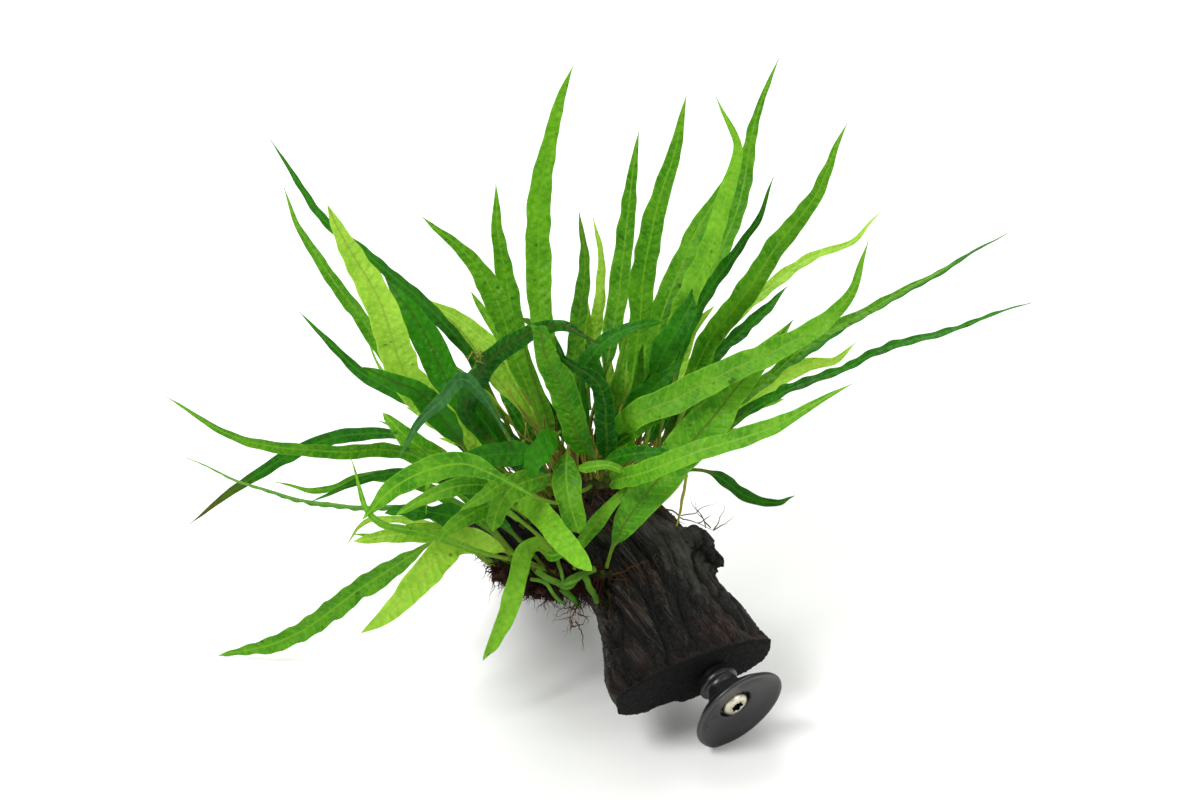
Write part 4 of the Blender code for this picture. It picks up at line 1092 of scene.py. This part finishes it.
# %% [markdown]
# Under the lower left stem the roots have grown into a brown felt. The felt is a lumpy core that hundreds
# of short fibres leave in all directions. Most are short, and a few hang down free. More felt grows on the
# wood's skin beside it, and a curtain of older roots hangs between the two.

# %% Root felt and root curtain
FELT_FIBRES = 760
SHOULDER_FIBRES = 900
CURTAIN_ROOTS = 130

core, normals, faces = remeshed("root_mat", 0.8)
lumps = np.array([noise.noise(p / 4.5) * 3.4 + noise.noise(p / 1.6) * 1.3 for p in core])
core = core.mean(0) + (core - core.mean(0)) * 0.8 + 2.5 * PLANT_UP + normals * (lumps - 0.8)[:, None]
# Painted shade: the core is coloured darker where it sinks between its lumps.
piece("root_felt_core", core, faces, old_root, "roots", ("root_mat",), age=np.clip(lumps / 3 + 0.1, 0, 1))
strands = []
for index in random.choice(len(core), FELT_FIBRES):
    outward = normals[index]
    length = 3.0 + 11 * random.uniform(0, 1) ** 5 + 5 * max(0, -outward[2]) * random.uniform(0, 1) ** 2
    way = outward * 0.7 + np.cross(outward, random.normal(0, 1, 3)) * 1.2
    route = wander(core[index] - outward * 2.0, way, length, 1.1, 0.45, 0.1)
    strands.append((route, random.uniform(0.14, 0.42)))
fibres("root_felt", strands, old_root, sides=3)

across, up, out = ((wood_points - HEART) @ PLANT.T).T
matted = (np.abs(across + 28) < 28) & (up < -62) & (up > -98) & (out > -22) & (wood_chunk[:, 2] > 60)
strands = []
for index in random.choice(np.flatnonzero(matted), SHOULDER_FIBRES):
    way = random.normal(0, 0.8, 3) + 0.7 * wood_normals[index] - 0.3 * PLANT_UP
    route = wander(wood_points[index], way, 3.5 + 8 * random.uniform(0, 1) ** 3, 1.1, 0.5, 0.06)
    strands.append((route, random.uniform(0.16, 0.5)))
fibres("root_felt_on_wood", strands, old_root, sides=3, spread=0.7)

strands = []
for _ in range(CURTAIN_ROOTS):
    start = at_plant((random.uniform(-26, 4), random.uniform(-70, -64), random.uniform(6, 20)))
    heading = at_plant((random.uniform(-9, 2), -90, random.uniform(4, 16))) - start
    route = wander(start, heading, random.uniform(9, 20), 1.4, 0.2, 0.03)
    strands.append((route, random.uniform(0.25, 0.7)))
fibres("root_curtain", strands, old_root)

# %% Roots that cling to the wood
CLINGING_ROOTS = 90
strands = []
for _ in range(CLINGING_ROOTS):
    line = stems[str(random.choice(list(stems)))]
    start = line[int(random.integers(len(line)))]
    heading = -ALONG * 0.8 + random.normal(0, 0.6, 3)
    route = wander(start, heading, random.uniform(12, 34), 1.5, 0.3, 0.0, cling=0.2)
    strands.append((route, random.uniform(0.12, 0.28)))
fibres("clinging_roots", strands, young_root)

# %% [markdown]
# A few wires and stems have a place of their own. One long wiry root lies over the knob at the right and
# forks upwards several times. Short green tips of the stem, as thick as a match, creep over the wood under
# the leaves.

# %% Wiry roots, hanging roots and green tips
def strung(routes, radius, wobble, clear=None):
    """Smooth strands through places on the plant that wobble a little; `clear` keeps them above the wood."""
    made = []
    for route in routes:
        rows = smooth_rows(at_plant(route), 22)
        share = np.sin(np.linspace(0, np.pi, 22))[:, None]
        seed = random.uniform(0, 99)
        rows = rows + wobble * share * np.array([noise.noise_vector(Vector(row / 5 + seed)) for row in rows])
        if clear is not None:
            for number, row in enumerate(rows):
                spot, normal, _, _ = wood_tree.find_nearest(Vector(row))
                rows[number] = row + np.array(normal) * max(0, clear - (Vector(row) - spot).dot(normal))
        made.append((rows, radius))
    return made


LONG_WIRE = [(14, -40, -14), (24, -44, -18), (35, -48, -20), (46, -53, -19)]
FORKS = [
    [(43, -52, -19), (41, -46, -18), (37, -42, -20), (36.5, -36, -19)],
    [(45, -52, -19), (42, -48, -21), (39, -44, -19), (38.5, -40, -20)],
    [(33, -47, -20), (38, -46, -18), (43, -43, -20), (48, -42, -21)],
    [(46, -53, -19), (48, -50, -20), (50, -46, -20), (51, -42, -21)],
    [(46, -53, -19), (50, -51, -19), (53, -49, -20), (55, -47, -20)],
    [(40, -50, -20), (44, -48, -19), (46, -46, -18)],
    [(29, -46, -19), (31, -49, -20), (36, -51, -20)],
]
strands = strung([LONG_WIRE], 0.5, 1.6) + strung(FORKS, 0.26, 1.6)
fibres("wiry_root_fan", strands, young_root, ("wiry_roots",), spread=0.5)

TASSEL_ROOTS = 22
low, high = (np.array(corner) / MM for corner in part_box("hanging_roots"))
strands = []
for _ in range(TASSEL_ROOTS):
    start = (low + high) / 2 + (random.normal(0, 1.2), random.normal(0, 1.0), random.uniform(-2, 16))
    way = (random.normal(0, 0.4), random.normal(0, 0.3), -1)
    route = wander(start, way, random.uniform(6, 16), 1.2, 0.4, 0.1)
    strands.append((np.clip(route, low - (9, 4, 0), high + (9, 4, 10)), random.uniform(0.12, 0.34)))
fibres("hanging_root_tassel", strands, young_root, ("hanging_roots",), spread=0.5)

GREEN_TIPS = [
    [(-7, -68, 22), (-4, -73, 20), (-1, -80, 16)],
    [(-25, -67, 22), (-18, -71, 24), (-12, -73, 23), (-8, -68, 22)],
    [(-15, -74, 20), (-12, -77, 18), (-8, -81, 15)],
    [(-2, -66, 24), (-9, -69, 26), (-15, -72, 26)],
]
THIN_TIPS = [
    [(-27, -70, 26), (-22, -71, 28), (-19, -75, 27), (-14, -80, 24)],
    [(-17, -60, 28), (-15, -67, 29), (-14, -72, 26)],
    [(-14, -72, 28), (-8, -70, 30), (-3, -66, 28)],
]
strands = strung(GREEN_TIPS, 1.3, 0.8, 0.8) + strung(THIN_TIPS, 0.75, 0.8, 0.5)
fibres(
    "green_stem_tips", strands, stub_skin, slot="rhizome", sides=10, taper=1.7, youngest=0.3, spread=0.6
)

# %% [markdown]
# When a leaf dies its stalk stays, brown and yellow. Dozens of them stand between the feet of the living
# leaves, and where one has snapped off there are crumbs of dark tissue.

# %% Withered stalks
OLD_STALKS = 120
BARE_STALK = [(35, -30, -10), (33, -42, -11), (30, -54, -9)]
SNAPPED_END, CRUMBS = (-46, 17, 62), 14
strands = strung([BARE_STALK], 0.7, 0.8)
for number in range(OLD_STALKS):
    line = stems["rhizome_top" if number % 3 else "rhizome_back"]
    share = random.uniform(0, 1)
    lean = math.radians(-50 + 95 * share + random.normal(0, 9))
    heading = PLANT_UP * math.cos(lean) + RIGHT * math.sin(lean) + FRONT * random.uniform(-0.2, 0.6)
    foot = line[int(share * (len(line) - 1))]
    route = wander(foot, heading, random.uniform(14, 44), 1.8, 0.06, -0.01)
    strands.append((route, random.uniform(0.4, 0.85)))
for _ in range(CRUMBS):
    start = at_plant(SNAPPED_END) + random.normal(0, 1.2, 3)
    route = wander(start, random.normal(0, 1, 3), random.uniform(2, 7), 0.8, 0.35, 0.1)
    strands.append((route, random.uniform(0.12, 0.32)))
fibres("withered_stalks", strands, stalk_skin, slot="rhizome", sides=6, taper=1.4)

# %% [markdown]
# The box of the fine model is measured beside that of the solid one, and both sizes are printed.

# %% Sizes of the two boxes
shown_low, shown_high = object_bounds()
boxes = {"cad": [list(cad_low), list(cad_high)], "visual": [list(shown_low), list(shown_high)]}
for label, (low, high) in boxes.items():
    print(label, "box:", " x ".join(f"{(b - a) / MM:.1f}" for a, b in zip(low, high)), "mm")
